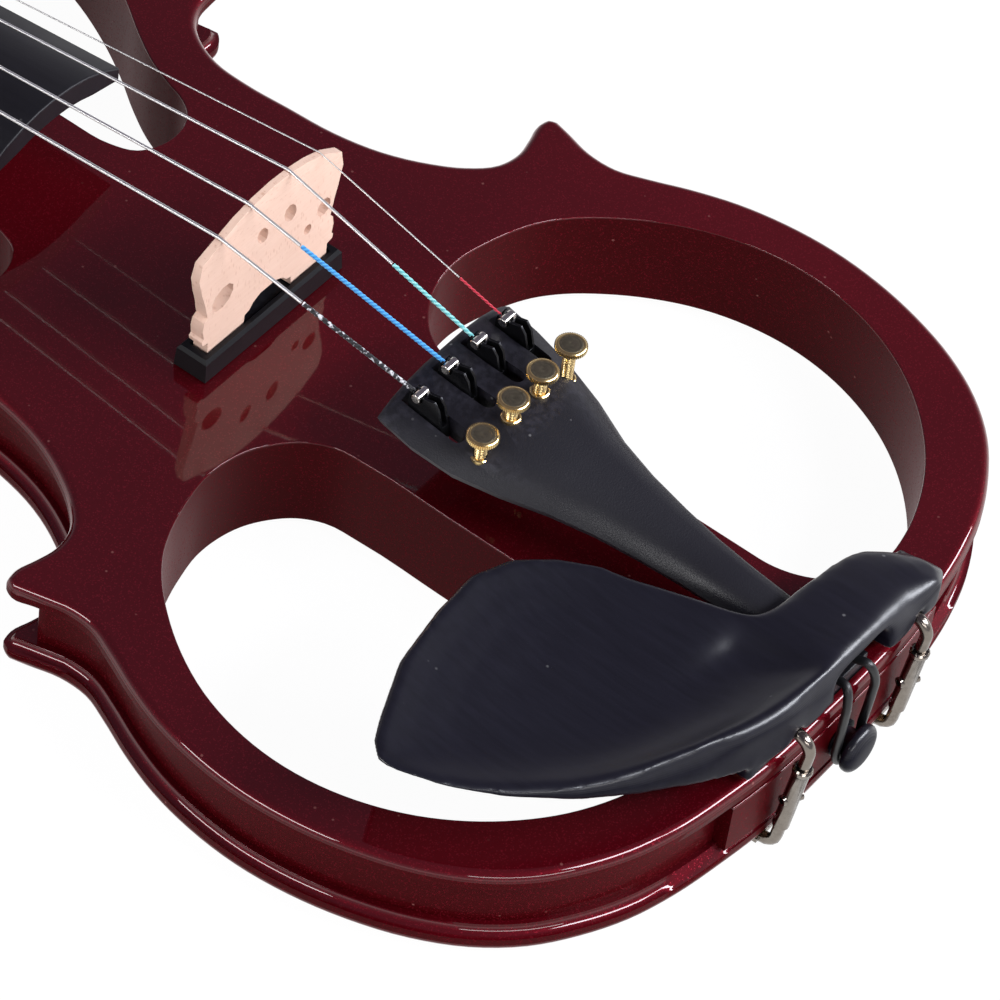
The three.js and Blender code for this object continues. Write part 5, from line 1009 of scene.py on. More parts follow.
class Workshop:
    """Makes meshes from solids, paths and node trees, and hands finished pieces over."""

    def __init__(self, effects: Effects, growth: Growth) -> None:
        """Keeps the shared node trees.

        Args:
            effects: The shared node groups of the materials.
            growth: The geometry trees.
        """
        self.effects = effects
        self.growth = growth

    @staticmethod
    def joined(node: str, flat: float | None = 0.4) -> bmesh.types.BMesh:
        """Copies a node's mesh, joins its triangles and clears flat faces of edges.

        Args:
            node: The CAD node.
            flat: The greatest angle, in degrees, that still counts as flat, or None to keep
                every edge.

        Returns:
            The new mesh, open for work.
        """
        grid = bmesh.new()
        grid.from_mesh(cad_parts[node].data)
        bmesh.ops.remove_doubles(grid, verts=grid.verts, dist=MERGE)
        if flat is not None:
            bmesh.ops.dissolve_limit(grid, angle_limit=math.radians(flat), verts=grid.verts,
                                     edges=grid.edges)
        return grid

    @staticmethod
    def kept(name: str, grid: bmesh.types.BMesh) -> bpy.types.Mesh:
        """Closes an open mesh into a named one."""
        mesh = bpy.data.meshes.new(name)
        grid.to_mesh(mesh)
        grid.free()
        return mesh

    @staticmethod
    def placed(name: str, mesh: bpy.types.Mesh) -> bpy.types.Object:
        """Puts a mesh in the scene as a new object at the origin."""
        piece = bpy.data.objects.new(name, mesh)
        bpy.context.scene.collection.objects.link(piece)
        return piece

    @staticmethod
    def settled(piece: bpy.types.Object) -> bpy.types.Object:
        """Turns a piece with its modifiers into a plain mesh.

        Args:
            piece: The object with modifiers.

        Returns:
            The same object with the finished mesh.
        """
        bpy.context.view_layer.update()
        evaluated = piece.evaluated_get(bpy.context.evaluated_depsgraph_get())
        mesh = bpy.data.meshes.new_from_object(evaluated)
        piece.modifiers.clear()
        piece.data = mesh
        return piece

    def bevelled(self, node: str, width: float, segments: int = 3,
                 angle: float = 35.0) -> bpy.types.Object:
        """Makes a copy of a node with rounded edges and smooth curved faces.

        Args:
            node: The CAD node.
            width: The bevel's width in millimetres.
            segments: The bevel's steps.
            angle: Edges sharper than this, in degrees, are rounded.

        Returns:
            The new object.
        """
        mesh = self.kept(f"{node}_copy", self.joined(node))
        mesh.shade_smooth()
        mesh.set_sharp_from_angle(angle=math.radians(angle))
        piece = self.placed(f"{node}_finished", mesh)
        bevel = piece.modifiers.new("rounding", "BEVEL")
        bevel.width = width / 1000
        bevel.segments = segments
        bevel.limit_method = "ANGLE"
        bevel.angle_limit = math.radians(angle)
        bevel.harden_normals = True
        bevel.miter_outer = "MITER_ARC"
        return self.settled(piece)

    def remeshed(self, node: str, voxel: float, smoothing: int) -> bpy.types.Object:
        """Makes a fine even copy of a node, with its facets eased away.

        Args:
            node: The CAD node.
            voxel: The grid's size in millimetres.
            smoothing: How many rounds of smoothing.

        Returns:
            The new object.
        """
        copy = self.kept(f"{node}_copy", self.joined(node, flat=None))
        piece = self.placed(f"{node}_finished", copy)
        grid = piece.modifiers.new("even_grid", "REMESH")
        grid.mode = "VOXEL"
        grid.voxel_size = voxel / 1000
        grid.use_smooth_shade = True
        return self.eased(piece, smoothing)

    def eased(self, piece: bpy.types.Object, rounds: int, group: str = "") -> bpy.types.Object:
        """Smooths a piece and fixes the result in its mesh.

        Args:
            piece: The object.
            rounds: How many rounds of smoothing.
            group: The vertex group that limits it, if any.

        Returns:
            The same object.
        """
        ease = piece.modifiers.new("easing", "SMOOTH")
        ease.iterations = rounds
        ease.vertex_group = group
        return self.settled(piece)

    def path_of(self, node: str) -> list[tuple[Vector, float]]:
        """Walks along a tube-shaped node from one end cap to the other.

        Args:
            node: The CAD node, a bent tube with one ring of corners after another.

        Returns:
            The middle and radius of each ring, in metres.
        """
        flat = self.joined(node, flat=0.1)
        caps = [face for face in flat.faces if len(face.verts) >= 5 and self._regular(face)]
        cap = min(caps, key=lambda face: face.calc_center_median().y)
        corners = [v.co.copy() for v in cap.verts]
        flat.free()
        grid = self.joined(node, flat=None)
        ring = {v for v in grid.verts if any((v.co - c).length < 2 * MERGE for c in corners)}
        seen = set(ring)
        rings = []
        while ring:
            middle = sum((v.co for v in ring), Vector()) / len(ring)
            radius = sum((v.co - middle).length for v in ring) / len(ring)
            rings.append((middle, radius))
            ring = {edge.other_vert(v) for v in ring for edge in v.link_edges} - seen
            seen |= ring
        grid.free()
        return rings

    @staticmethod
    def _regular(face: bmesh.types.BMFace) -> bool:
        """Tells whether a face is a regular polygon."""
        middle = face.calc_center_median()
        reaches = [(v.co - middle).length for v in face.verts]
        sides = [edge.calc_length() for edge in face.edges]
        return max(reaches) < 1.03 * min(reaches) and max(sides) < 1.08 * min(sides)

    @staticmethod
    def _cut(edge: bmesh.types.BMEdge, first: bmesh.types.BMVert, last: bmesh.types.BMVert,
             cuts: int) -> list[bmesh.types.BMVert]:
        """Puts new corners on an edge, evenly spaced.

        Args:
            edge: The edge.
            first: The end that the new corners start from.
            last: The other end.
            cuts: How many corners.

        Returns:
            The new corners in order.
        """
        chain, rest, before = [], edge, first
        for k in range(cuts):
            _, new = bmesh.utils.edge_split(rest, before, 1 / (cuts + 1 - k))
            rest = next(part for part in new.link_edges if part.other_vert(new) == last)
            chain.append(new)
            before = new
        return chain

    @staticmethod
    def _bridge(chain: Sequence[bmesh.types.BMVert], other: Sequence[bmesh.types.BMVert]) -> None:
        """Splits the faces between two rows of corners, from each corner to its partner."""
        for one, two in zip(chain, other):
            shared = [face for face in one.link_faces if face in two.link_faces]
            if shared:
                bmesh.utils.face_split(shared[0], one, two)

    @staticmethod
    def _level(edge: bmesh.types.BMEdge) -> bool:
        """Tells whether an edge lies level."""
        return abs(edge.verts[0].co.z - edge.verts[1].co.z) < LEVEL

    def eased_rings(self, grid: bmesh.types.BMesh, cuts: int = 3, least: float = 15.0,
                    corner: float = 50.0) -> None:
        """Turns the level rings of a faceted outline into smooth curves.

        Args:
            grid: The mesh, with its flat faces cleared.
            cuts: New corners in each step of a ring.
            least: The least angle, in degrees, between the faces beside a ring's edge.
            corner: A turn sharper than this, in degrees, stays a corner.
        """
        slim = [face for face in grid.faces if len(face.verts) == 3]
        bmesh.ops.join_triangles(grid, faces=slim, angle_face_threshold=math.radians(14),
                                 angle_shape_threshold=math.radians(180))
        rings = [edge for edge in grid.edges if len(edge.link_faces) == 2 and self._level(edge)
                 and edge.calc_face_angle() > math.radians(least)]
        members = set(rings)

        def beyond(vert: bmesh.types.BMVert, edge: bmesh.types.BMEdge) -> Vector | None:
            """Finds the ring's next point past an edge's end, if it runs on smoothly."""
            onward = [other for other in vert.link_edges if other in members and other != edge]
            if len(onward) != 1:
                return None
            far = onward[0].other_vert(vert).co
            turn = (vert.co - edge.other_vert(vert).co).angle(far - vert.co)
            return far.copy() if turn < math.radians(corner) else None

        plans = []
        for edge in rings:
            a, b = edge.verts
            plans.append((edge, a, b, bend(beyond(a, edge), a.co.copy(), b.co.copy(),
                                           beyond(b, edge), cuts)))
        walls = []
        for face in grid.faces:
            if len(face.verts) != 4:
                continue
            v = list(face.verts)
            beside = [set(edge.verts) for edge in face.edges if edge in members]
            for k in (0, 1):
                pair = (v[k], v[k + 1]), (v[(k + 3) % 4], v[k + 2])
                if all(set(ends) in beside for ends in pair):
                    walls.append(pair)
                    break
        chains = {}
        for edge, a, b, spots in plans:
            chain = self._cut(edge, a, b, cuts)
            chains[a, b] = chain
            chains[b, a] = chain[::-1]
            for new, spot in zip(chain, spots):
                new.co = spot
        for low, high in walls:
            self._bridge(chains[low], chains[high])

    def quarter_rounds(self, grid: bmesh.types.BMesh, middle: float, cuts: int = 4,
                       least_rise: float = 0.5, slope: Pair = (0.6, 0.8)) -> None:
        """Swells the sloping bands round an outline into quarter rounds.

        Args:
            grid: The mesh, with level rings on both sides of each band.
            middle: The height, in millimetres, that the upright walls lie round.
            cuts: New rings in each band.
            least_rise: What an edge across a band climbs at least, in millimetres.
            slope: The least and greatest upright share of a band's normal.
        """
        grid.normal_update()
        bands = [face for face in grid.faces
                 if slope[0] < abs(face.normal.z) < slope[1]]
        steps = {}
        for edge in [edge for face in bands for edge in face.edges]:
            wall, lid = sorted(edge.verts, key=lambda v: abs(v.co.z - middle / 1000))
            if abs(wall.co.z - lid.co.z) > least_rise / 1000:
                steps[edge] = wall, lid
        pairs = []
        for face in bands:
            ends = [steps[edge] for edge in face.edges if edge in steps]
            if len(ends) == 2:
                pairs.append(ends)
        chains = {}
        for edge, (wall, lid) in steps.items():
            run, foot = lid.co - wall.co, wall.co.copy()
            chains[wall, lid] = self._cut(edge, wall, lid, cuts)
            for k, new in enumerate(chains[wall, lid], 1):
                turn = math.pi / 2 * k / (cuts + 1)
                out, up = 1 - math.cos(turn), math.sin(turn)
                new.co = foot + Vector((run.x * out, run.y * out, run.z * up))
        for first, second in pairs:
            self._bridge(chains[first], chains[second])

    def rounded_rims(self, grid: bmesh.types.BMesh, width: float, segments: int, low: float,
                     high: float) -> None:
        """Rounds the level outward edges whose faces meet at an angle in a range.

        Args:
            grid: The mesh.
            width: The rounding's width in millimetres.
            segments: The rounding's steps.
            low: The least angle in degrees.
            high: The greatest angle in degrees.
        """
        edges = [edge for edge in grid.edges if len(edge.link_faces) == 2 and edge.is_convex
                 and self._level(edge)
                 and math.radians(low) < edge.calc_face_angle() < math.radians(high)]
        bmesh.ops.bevel(grid, geom=edges, offset=width / 1000, offset_type="OFFSET",
                        segments=segments, profile=0.5, affect="EDGES", clamp_overlap=False,
                        loop_slide=True, material=-1)

    def shaded(self, name: str, grid: bmesh.types.BMesh, angle: float = 32.0) -> bpy.types.Object:
        """Closes a mesh into a smooth piece whose broad faces stay flat.

        Args:
            name: The piece's name.
            grid: The mesh.
            angle: Edges sharper than this, in degrees, stay crisp.

        Returns:
            The new object.
        """
        mesh = self.kept(name, grid)
        mesh.shade_smooth()
        mesh.set_sharp_from_angle(angle=math.radians(angle))
        piece = self.placed(name, mesh)
        even = piece.modifiers.new("even_light", "WEIGHTED_NORMAL")
        even.keep_sharp = True
        return self.settled(piece)

    def tubed(self, name: str, points: Sequence[Vector], radii: Sequence[float], finish: Finish,
              **sizes: float) -> bpy.types.Object:
        """Sweeps a tube along points with the thread tree.

        Args:
            name: The piece's name.
            points: The path in metres.
            radii: The radius at each point, in metres.
            finish: The finish of the tube.
            sizes: The tree's other inputs by name.

        Returns:
            The finished object.
        """
        mesh = bpy.data.meshes.new(f"{name}_path")
        mesh.from_pydata(points, [(i, i + 1) for i in range(len(points) - 1)], [])
        layer = mesh.attributes.new("girth", "FLOAT", "POINT")
        layer.data.foreach_set("value", list(radii))
        return self.grown(name, mesh, self.growth.thread, finish, **sizes)

    def grown(self, name: str, mesh: bpy.types.Mesh, tree: bpy.types.NodeTree, finish: Finish,
              **sizes: object) -> bpy.types.Object:
        """Runs a geometry tree on a mesh and keeps the result as a plain mesh.

        Args:
            name: The piece's name.
            mesh: What the tree starts from.
            tree: The geometry tree.
            finish: The finish that the tree sets.
            sizes: The tree's inputs by name, with underscores for spaces.

        Returns:
            The finished object.
        """
        piece = self.placed(name, mesh)
        modifier = piece.modifiers.new("growth", "NODES")
        modifier.node_group = tree
        values = {key.replace("_", " "): value for key, value in sizes.items()}
        values["Finish"] = finish.material(self.effects)
        for item in tree.interface.items_tree:
            if item.item_type == "SOCKET" and item.in_out == "INPUT" and item.name in values:
                modifier[item.identifier] = values[item.name]
        return self.settled(piece)

    def finish(self, piece: bpy.types.Object, finish: Finish | None, body: str, slot: Slot,
               *nodes: str) -> bpy.types.Object:
        """Gives a piece its finish and its body, and hides the nodes that it replaces.

        Args:
            piece: The object.
            finish: Its finish, or None where its mesh has materials already.
            body: The body that it rides on.
            slot: The record's slot. Not used.
            nodes: The CAD nodes that it replaces.

        Returns:
            The same object.
        """
        if finish is not None:
            piece.data.materials.clear()
            piece.data.materials.append(finish.material(self.effects))
        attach(piece, body)
        if nodes:
            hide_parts(*nodes)
        LOG.info("%s: %d faces on %s", piece.name, len(piece.data.polygons), body)
        return piece

    def refine(self, node: str, finish: Finish, slot: Slot, width: float, segments: int = 3,
               angle: float = 35.0, body: str = Body.VIOLIN.value) -> None:
        """Hands over a node's copy with rounded edges.

        Args:
            node: The CAD node.
            finish: Its finish.
            slot: The record's slot.
            width: The rounding's width in millimetres.
            segments: The rounding's steps.
            angle: Edges sharper than this, in degrees, are rounded.
            body: The body that it rides on.
        """
        self.finish(self.bevelled(node, width, segments, angle), finish, body, slot, node)

    def bent_tube(self, node: str, name: str, finish: Finish, slot: Slot, share: float = 1.0,
                  **sizes: float) -> None:
        """Hands over a smooth tube that follows a tube-shaped node.

        Args:
            node: The CAD node.
            name: The piece's name.
            finish: Its finish.
            slot: The record's slot.
            share: The tube's thickness as a share of the node's.
            sizes: The thread tree's other inputs by name.
        """
        path = self.path_of(node)
        bent = eased_path([point for point, _ in path])
        tube = self.tubed(name, bent, [path[0][1] * share] * len(bent), finish, **sizes)
        self.finish(tube, None, Body.VIOLIN.value, slot, node)

    def dress_node(self, node: str, finish: Finish) -> None:
        """Gives a CAD node, kept as it is, its finish."""
        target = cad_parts[node]
        if not target.material_slots:
            target.data.materials.append(None)
        for place in target.material_slots:
            place.material = finish.material(self.effects)
        LOG.info("%s keeps its solid, in %s", node, finish.name)


def turned_mesh(name: str, start: Vector, along: Vector, profile: Sequence[Pair],
                sides: int, crease: float = 38.0) -> bpy.types.Mesh:
    """Makes a closed turned shape.

    Args:
        name: The mesh's name.
        start: Where the profile's zero lies, in metres.
        along: The direction of the axis.
        profile: Pairs of distance along the axis and radius, in millimetres, from one
            end on the axis to the other.
        sides: How many sides the shape has.
        crease: Edges sharper than this, in degrees, stay crisp.

    Returns:
        The mesh, smooth but for its sharp edges.
    """
    turn = along.normalized().to_track_quat("Z", "X").to_matrix()
    grid = bmesh.new()
    rings = []
    for height, radius in profile:
        if radius <= 0:
            rings.append([grid.verts.new(start + turn @ mm(0, 0, height))])
            continue
        ring = []
        for k in range(sides):
            angle = 2 * math.pi * k / sides
            spot = mm(radius * math.cos(angle), radius * math.sin(angle), height)
            ring.append(grid.verts.new(start + turn @ spot))
        rings.append(ring)
    for low, high in zip(rings, rings[1:]):
        for k in range(sides):
            n = (k + 1) % sides
            if len(low) == 1:
                grid.faces.new((low[0], high[n], high[k]))
            elif len(high) == 1:
                grid.faces.new((low[k], low[n], high[0]))
            else:
                grid.faces.new((low[k], low[n], high[n], high[k]))
    bmesh.ops.recalc_face_normals(grid, faces=grid.faces)
    mesh = Workshop.kept(name, grid)
    mesh.shade_smooth()
    mesh.set_sharp_from_angle(angle=math.radians(crease))
    return mesh


# Sub-assemblies


class Assembly:
    """A part of the violin that makes its own pieces."""

    def build(self, shop: Workshop) -> None:
        """Makes the pieces and hands them over.

        Args:
            shop: The mesh workshop.
        """
        raise NotImplementedError


@dataclass
class FrameBody(Assembly):
    """The lacquered frame, neck and scroll, with the fingerboard, nut and saddle."""

    middle: float = 12.15
    groove_edge: float = 0.4
    neck_edge: float = 0.6
    board_edge: float = 0.5
    small_edge: float = 0.3

    def build(self, shop: Workshop) -> None:
        """Makes the frame and what is glued to it.

        Args:
            shop: The mesh workshop.
        """
        grid = shop.joined("body")
        shop.eased_rings(grid)
        shop.quarter_rounds(grid, self.middle)
        shop.rounded_rims(grid, self.groove_edge, segments=3, low=60, high=120)
        shop.finish(shop.shaded("body_finished", grid), LACQUER, Body.VIOLIN.value,
                    Slot.LACQUER, "body")
        shop.refine("neck", LACQUER, Slot.LACQUER, self.neck_edge, angle=42)
        shop.refine("fingerboard", BOARD_WOOD, Slot.EBONY, self.board_edge, 4, angle=40)
        for node in ("nut", "saddle"):
            shop.refine(node, EBONY, Slot.EBONY, self.small_edge)


@dataclass
class BridgeAndPickup(Assembly):
    """The maple bridge on its black bar, with the pickup strip and its lead."""

    bridge_edge: float = 0.35
    housing_edge: float = 0.45
    strip_edge: float = 0.1
    lead_sides: int = 14

    def build(self, shop: Workshop) -> None:
        """Makes the bridge, its bar and the pickup.

        Args:
            shop: The mesh workshop.
        """
        shop.refine("bridge", MAPLE, Slot.MAPLE, self.bridge_edge)
        shop.refine("pickup_housing", HOUSING_WOOD, Slot.EBONY, self.housing_edge)
        shop.refine("pickup_strip", DARK_METAL, Slot.BLACK_METAL, self.strip_edge, 2)
        shop.bent_tube("pickup_lead", "pickup_lead_sleeve", NYLON, Slot.NYLON,
                       Sides=self.lead_sides, Step=0.0006)


@dataclass
class Tailpiece(Assembly):
    """The tailpiece with four built-in tuners.

    Profiles pair a height with a radius. Heads are measured from their underside, and
    bushes from the tailpiece's top.
    """

    edge: float = 0.3
    lever_edge: float = 0.22
    ball_edge: float = 0.3
    thread_depth: float = 0.16
    thread_pitch: float = 0.5
    thread_sides: int = 28
    head_profile: Sequence[Pair] = (
        (0, 0), (0, 1.6), (0.12, 2.3), (0.3, 2.93), (0.42, 3.28), (1.4, 3.28), (1.65, 3.0),
        (1.7, 2.78), (1.58, 2.56), (1.56, 0))
    head_sides: int = 56
    ridge_radius: float = 3.28
    ridge_height: float = 0.95
    ridge_middle: float = 0.9
    ridge_width: float = 0.46
    ridge_count: int = 44
    face_height: float = 1.565
    face_profile: Sequence[Pair] = (
        (0, 0), (0, 2.54), (0.04, 2.49), (0.05, 1.94), (0.03, 1.86), (0.06, 1.78), (0.07, 0.5),
        (0.02, 0.38), (0.02, 0))
    bush_profile: Sequence[Pair] = (
        (-0.6, 0), (-0.6, 2.15), (0.55, 2.15), (0.75, 1.9), (0.75, 1.55), (0.45, 1.45),
        (0.1, 1.45), (0.1, 0))
    bush_sides: int = 36
    bush_reach: float = 2.0
    bush_view: float = 200.0

    def build(self, shop: Workshop) -> None:
        """Makes the tailpiece and its tuners.

        Args:
            shop: The mesh workshop.
        """
        shop.refine("tailpiece", TAILPIECE, Slot.BLACK_METAL, self.edge, angle=48)
        for string in Strings:
            lever = f"tuner_lever_{string.value}"
            shop.refine(lever, DARK_METAL, Slot.BLACK_METAL, self.lever_edge, body=lever)
            shop.refine(f"string_ball_{string.value}", NICKEL, Slot.NICKEL, self.ball_edge,
                        body=lever)
            self._screw(shop, f"tuner_screw_{string.value}")
            self._head(shop, f"tuner_head_{string.value}")
            self._bush(shop, f"tuner_head_{string.value}", f"tuner_bush_{string.value}")

    @staticmethod
    def _foot(node: str) -> Vector:
        """Finds the middle of a node's underside."""
        low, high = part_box(node)
        return Vector(((low.x + high.x) / 2, (low.y + high.y) / 2, low.z))

    def _screw(self, shop: Workshop, node: str) -> None:
        """Makes one threaded shaft.

        Args:
            shop: The mesh workshop.
            node: The screw's CAD node.
        """
        low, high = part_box(node)
        foot = self._foot(node)
        radius = (high.x - low.x) / 2
        shaft = shop.tubed(f"{node}_threaded", [foot, foot + UP * (high.z - low.z)],
                           [radius, radius], BRASS, Sides=self.thread_sides,
                           Pitch=self.thread_pitch / 1000, Strands=1.0,
                           Ridge=self.thread_depth / 2000, Step=0.00006)
        shop.finish(shaft, None, node, Slot.BRASS, node)

    def _head(self, shop: Workshop, node: str) -> None:
        """Makes one knurled head and its tarnished face.

        Args:
            shop: The mesh workshop.
            node: The head's CAD node.
        """
        foot = self._foot(node)
        disc = turned_mesh(f"{node}_disc", foot, UP, self.head_profile, self.head_sides)
        knurled = shop.grown(f"{node}_knurled", disc, shop.growth.ridges, BRASS,
                             Radius=self.ridge_radius / 1000, Height=self.ridge_height / 1000,
                             Width=self.ridge_width / 1000, Count=self.ridge_count,
                             Centre=tuple(foot + mm(0, 0, self.ridge_middle)))
        shop.finish(knurled, None, node, Slot.BRASS, node)
        face = turned_mesh(f"{node}_face", foot + mm(0, 0, self.face_height), UP,
                           self.face_profile, self.head_sides)
        shop.finish(shop.placed(f"{node}_tarnished_face", face), TARNISH, node, Slot.BRASS)

    def _bush(self, shop: Workshop, node: str, name: str) -> None:
        """Makes the bush that a screw goes through, on the tailpiece's top.

        Args:
            shop: The mesh workshop.
            node: The CAD node of the head above it.
            name: The piece's name.
        """
        grid = bmesh.new()
        grid.from_mesh(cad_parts["tailpiece"].data)
        solid = BVHTree.FromBMesh(grid)
        grid.free()
        foot = self._foot(node)
        above = Vector((foot.x, foot.y, self.bush_view / 1000))
        hits = []
        for angle in range(0, 360, 45):
            turn = math.radians(angle)
            reach = mm(self.bush_reach * math.cos(turn), self.bush_reach * math.sin(turn), 0)
            hits.append(solid.ray_cast(above + reach, -UP)[0])
        foot.z = min(hit.z for hit in hits if hit is not None)
        bush = turned_mesh(name, foot, UP, self.bush_profile, self.bush_sides)
        shop.finish(shop.placed(name, bush), BRASS, Body.VIOLIN.value, Slot.BRASS)


@dataclass
class StringSet(Assembly):
    """Four strings: bare wire, silk at the tail end, and turns on the pegs."""

    wire_sides: int = 14
    wire_share: float = 0.93
    silk_sides: int = 20
    silk_pitch: dict[Strings, float] = field(default_factory=lambda: {
        Strings.G: 1.1, Strings.D: 1.0, Strings.A: 1.3, Strings.E: 1.2})
    silk_ridge: float = 0.045
    strands: float = 2.0

    def build(self, shop: Workshop) -> None:
        """Makes each string in two pieces, silk and wire.

        Args:
            shop: The mesh workshop.
        """
        violin = Body.VIOLIN.value
        for string in Strings:
            node = f"string_{string.value}"
            points, radii = zip(*shop.path_of(node))
            split = next(i for i, radius in enumerate(radii)
                         if radius < self.wire_share * radii[0])
            silk = shop.tubed(f"{node}_silk", points[:split], radii[:split], SILKS[string],
                              Sides=self.silk_sides, Pitch=self.silk_pitch[string] / 1000,
                              Strands=self.strands, Ridge=self.silk_ridge / 1000, Step=0.00012)
            bent = eased_path(points[split:])
            wire = shop.tubed(f"{node}_wire", bent, [radii[split]] * len(bent),
                              PLAIN_STEEL if string is Strings.E else STEEL,
                              Sides=self.wire_sides, Step=0.0012)
            shop.finish(silk, None, violin, Slot.NYLON, node)
            shop.finish(wire, None, violin, Slot.STEEL, node)


@dataclass
class Pegs(Assembly):
    """Four pegs, each a body of its own."""

    voxel: float = 0.3
    smoothing: int = 8

    def build(self, shop: Workshop) -> None:
        """Makes the pegs.

        Args:
            shop: The mesh workshop.
        """
        for string in Strings:
            node = f"peg_{string.value}"
            shop.finish(shop.remeshed(node, self.voxel, self.smoothing), EBONY, node,
                        Slot.EBONY, node)


@dataclass
class TailFittings(Assembly):
    """The end button and the gut loop that holds the tailpiece."""

    gut_sides: int = 20
    gut_share: float = 0.86
    button_sides: int = 56
    button_start: tuple[float, float, float] = (0.0, -137.0, 11.0)
    button_profile: Sequence[Pair] = (
        (0.0, 0.0), (0.0, 3.2), (0.25, 3.44), (17.3, 3.7), (17.3, 4.3), (17.38, 4.4),
        (17.62, 4.4), (17.7, 4.3), (17.7, 3.15), (17.85, 3.1), (20.45, 3.1), (20.6, 3.2),
        (20.6, 4.9), (20.68, 5.2), (20.85, 5.42), (21.2, 5.56), (21.7, 5.6), (22.1, 5.55),
        (22.45, 5.38), (22.8, 5.06), (23.1, 4.6), (23.34, 4.0), (23.52, 3.2), (23.63, 2.3),
        (23.69, 1.2), (23.7, 0.0))

    def build(self, shop: Workshop) -> None:
        """Makes the button and the loop.

        Args:
            shop: The mesh workshop.
        """
        button = turned_mesh("end_button_turned", mm(*self.button_start), Vector((0, -1, 0)),
                             self.button_profile, self.button_sides)
        shop.finish(shop.placed("end_button_turned", button), CHIN_WOOD, Body.VIOLIN.value,
                    Slot.EBONY, "end_button")
        shop.bent_tube("tail_gut", "tail_gut_loop", NYLON, Slot.NYLON, self.gut_share,
                       Sides=self.gut_sides, Step=0.0005)


@dataclass
class Chinrest(Assembly):
    """The chinrest on its cork pads, and the clamp that holds it.

    Each rim row is a place on the edge at the tail, then the wall's foot and top there.
    """

    voxel: float = 0.7
    smoothing: int = 3
    easing: int = 11
    rim: Sequence[tuple[float, float, float, float]] = (
        (-91, -102.0, 42.8, 43.8), (-90.3, -107.0, 42.6, 43.3), (-86.5, -114.6, 40.9, 42.5),
        (-79.0, -124.5, 38.3, 41.5), (-68.5, -134.6, 35.9, 41.7), (-57.0, -142.5, 34.2, 43.2),
        (-46.0, -148.3, 32.3, 44.9), (-36.4, -151.9, 30.3, 45.8), (-27.0, -154.6, 29.3, 45.8),
        (-15.0, -156.0, 31.3, 45.3), (0, -156.4, 32.3, 43.3), (15.0, -156.2, 30.3, 40.3),
        (28.2, -155.4, 28.3, 37.2), (33.7, -152.9, 28.8, 35.0))
    crest_radius: float = 7.5
    crest_share: float = 0.72
    crest_start: float = -90.0
    crest_full: float = -112.0
    crest_tip: float = 33.0
    crest_fade: float = 14.0
    overpass_middle: float = -34.0
    overpass_reach: float = 62.0
    overpass_front: float = -104.0
    overpass_foot: float = 32.0
    overpass_fade: float = 12.0
    blending: int = 120
    pad_edge: float = 0.2
    rod_sides: int = 24
    metal_edge: float = 0.12

    def build(self, shop: Workshop) -> None:
        """Makes the cup, pads, rods, barrels and foot.

        Args:
            shop: The mesh workshop.
        """
        rest = shop.remeshed("chinrest", self.voxel, self.smoothing)
        self._round_crest(rest)
        shop.eased(rest, self.easing)
        self._blend_overpass(shop, rest)
        shop.finish(rest, CHIN_WOOD, Body.VIOLIN.value, Slot.EBONY, "chinrest")
        for side in ("bass", "treble"):
            shop.refine(f"cork_pad_{side}", CORK, Slot.CORK, self.pad_edge, 2)
            rod, barrel = f"clamp_rod_{side}", f"clamp_barrel_{side}"
            shop.bent_tube(rod, f"{rod}_bent", CLAMP_NICKEL, Slot.NICKEL, Sides=self.rod_sides,
                           Step=0.0006)
            shop.refine(barrel, CLAMP_NICKEL, Slot.NICKEL, self.metal_edge, 2, 40, barrel)
        clamp = Body.CLAMP.value
        shop.refine("clamp_foot", CLAMP_NICKEL, Slot.NICKEL, self.metal_edge, 2, 40, clamp)
        shop.refine("clamp_cork", CORK, Slot.CORK, self.pad_edge, 2, body=clamp)

    def _blend_overpass(self, shop: Workshop, rest: bpy.types.Object) -> None:
        """Blends the raised part over the tailpiece into the cup.

        Args:
            shop: The mesh workshop.
            rest: The chinrest.
        """
        group = rest.vertex_groups.new(name="overpass")
        for vert in rest.data.vertices:
            across, along, rise = vert.co * 1000
            shares = (1.0 - abs(across - self.overpass_middle) / self.overpass_reach,
                      (self.overpass_front - along) / self.overpass_fade,
                      (rise - self.overpass_foot) / self.overpass_fade)
            weight = min(min(max(share, 0.0), 0.5) * 2 for share in shares)
            group.add([vert.index], weight, "REPLACE")
        shop.eased(rest, self.blending, group=group.name)

    def _round_crest(self, rest: bpy.types.Object) -> None:
        """Rolls the raised edge at the tail end over into the wall below it.

        Args:
            rest: The chinrest.
        """
        rim = [(mm(x, y, 0).xy, foot / 1000, top / 1000) for x, y, foot, top in self.rim]
        sides = list(zip(rim, rim[1:]))
        for vert in rest.data.vertices:
            along = (vert.co.y * 1000 - self.crest_start) / (self.crest_full - self.crest_start)
            tip = (self.crest_tip - vert.co.x * 1000) / self.crest_fade
            share = min(max(along, 0.0), 1.0) * min(max(tip, 0.0), 1.0)
            if not share:
                continue
            spot, nearest = vert.co.xy, None
            for (a, low_a, top_a), (b, low_b, top_b) in sides:
                run = b - a
                part = min(max((spot - a).dot(run) / run.length_squared, 0.0), 1.0)
                gap = (spot - a.lerp(b, part)).length
                if nearest is None or gap < nearest[0]:
                    wall = low_a + (low_b - low_a) * part, top_a + (top_b - top_a) * part
                    nearest = gap, a.lerp(b, part), wall
            gap, foot, (low, top) = nearest
            radius = share * min(self.crest_radius / 1000, self.crest_share * (top - low))
            out, up = radius - gap, vert.co.z - (top - radius)
            reach = math.hypot(out, up)
            if out > 0 and up > 0 and reach > radius and gap > 1e-6:
                vert.co.xy = foot + (spot - foot) * (radius - out * radius / reach) / gap
                vert.co.z = top - radius + up * radius / reach


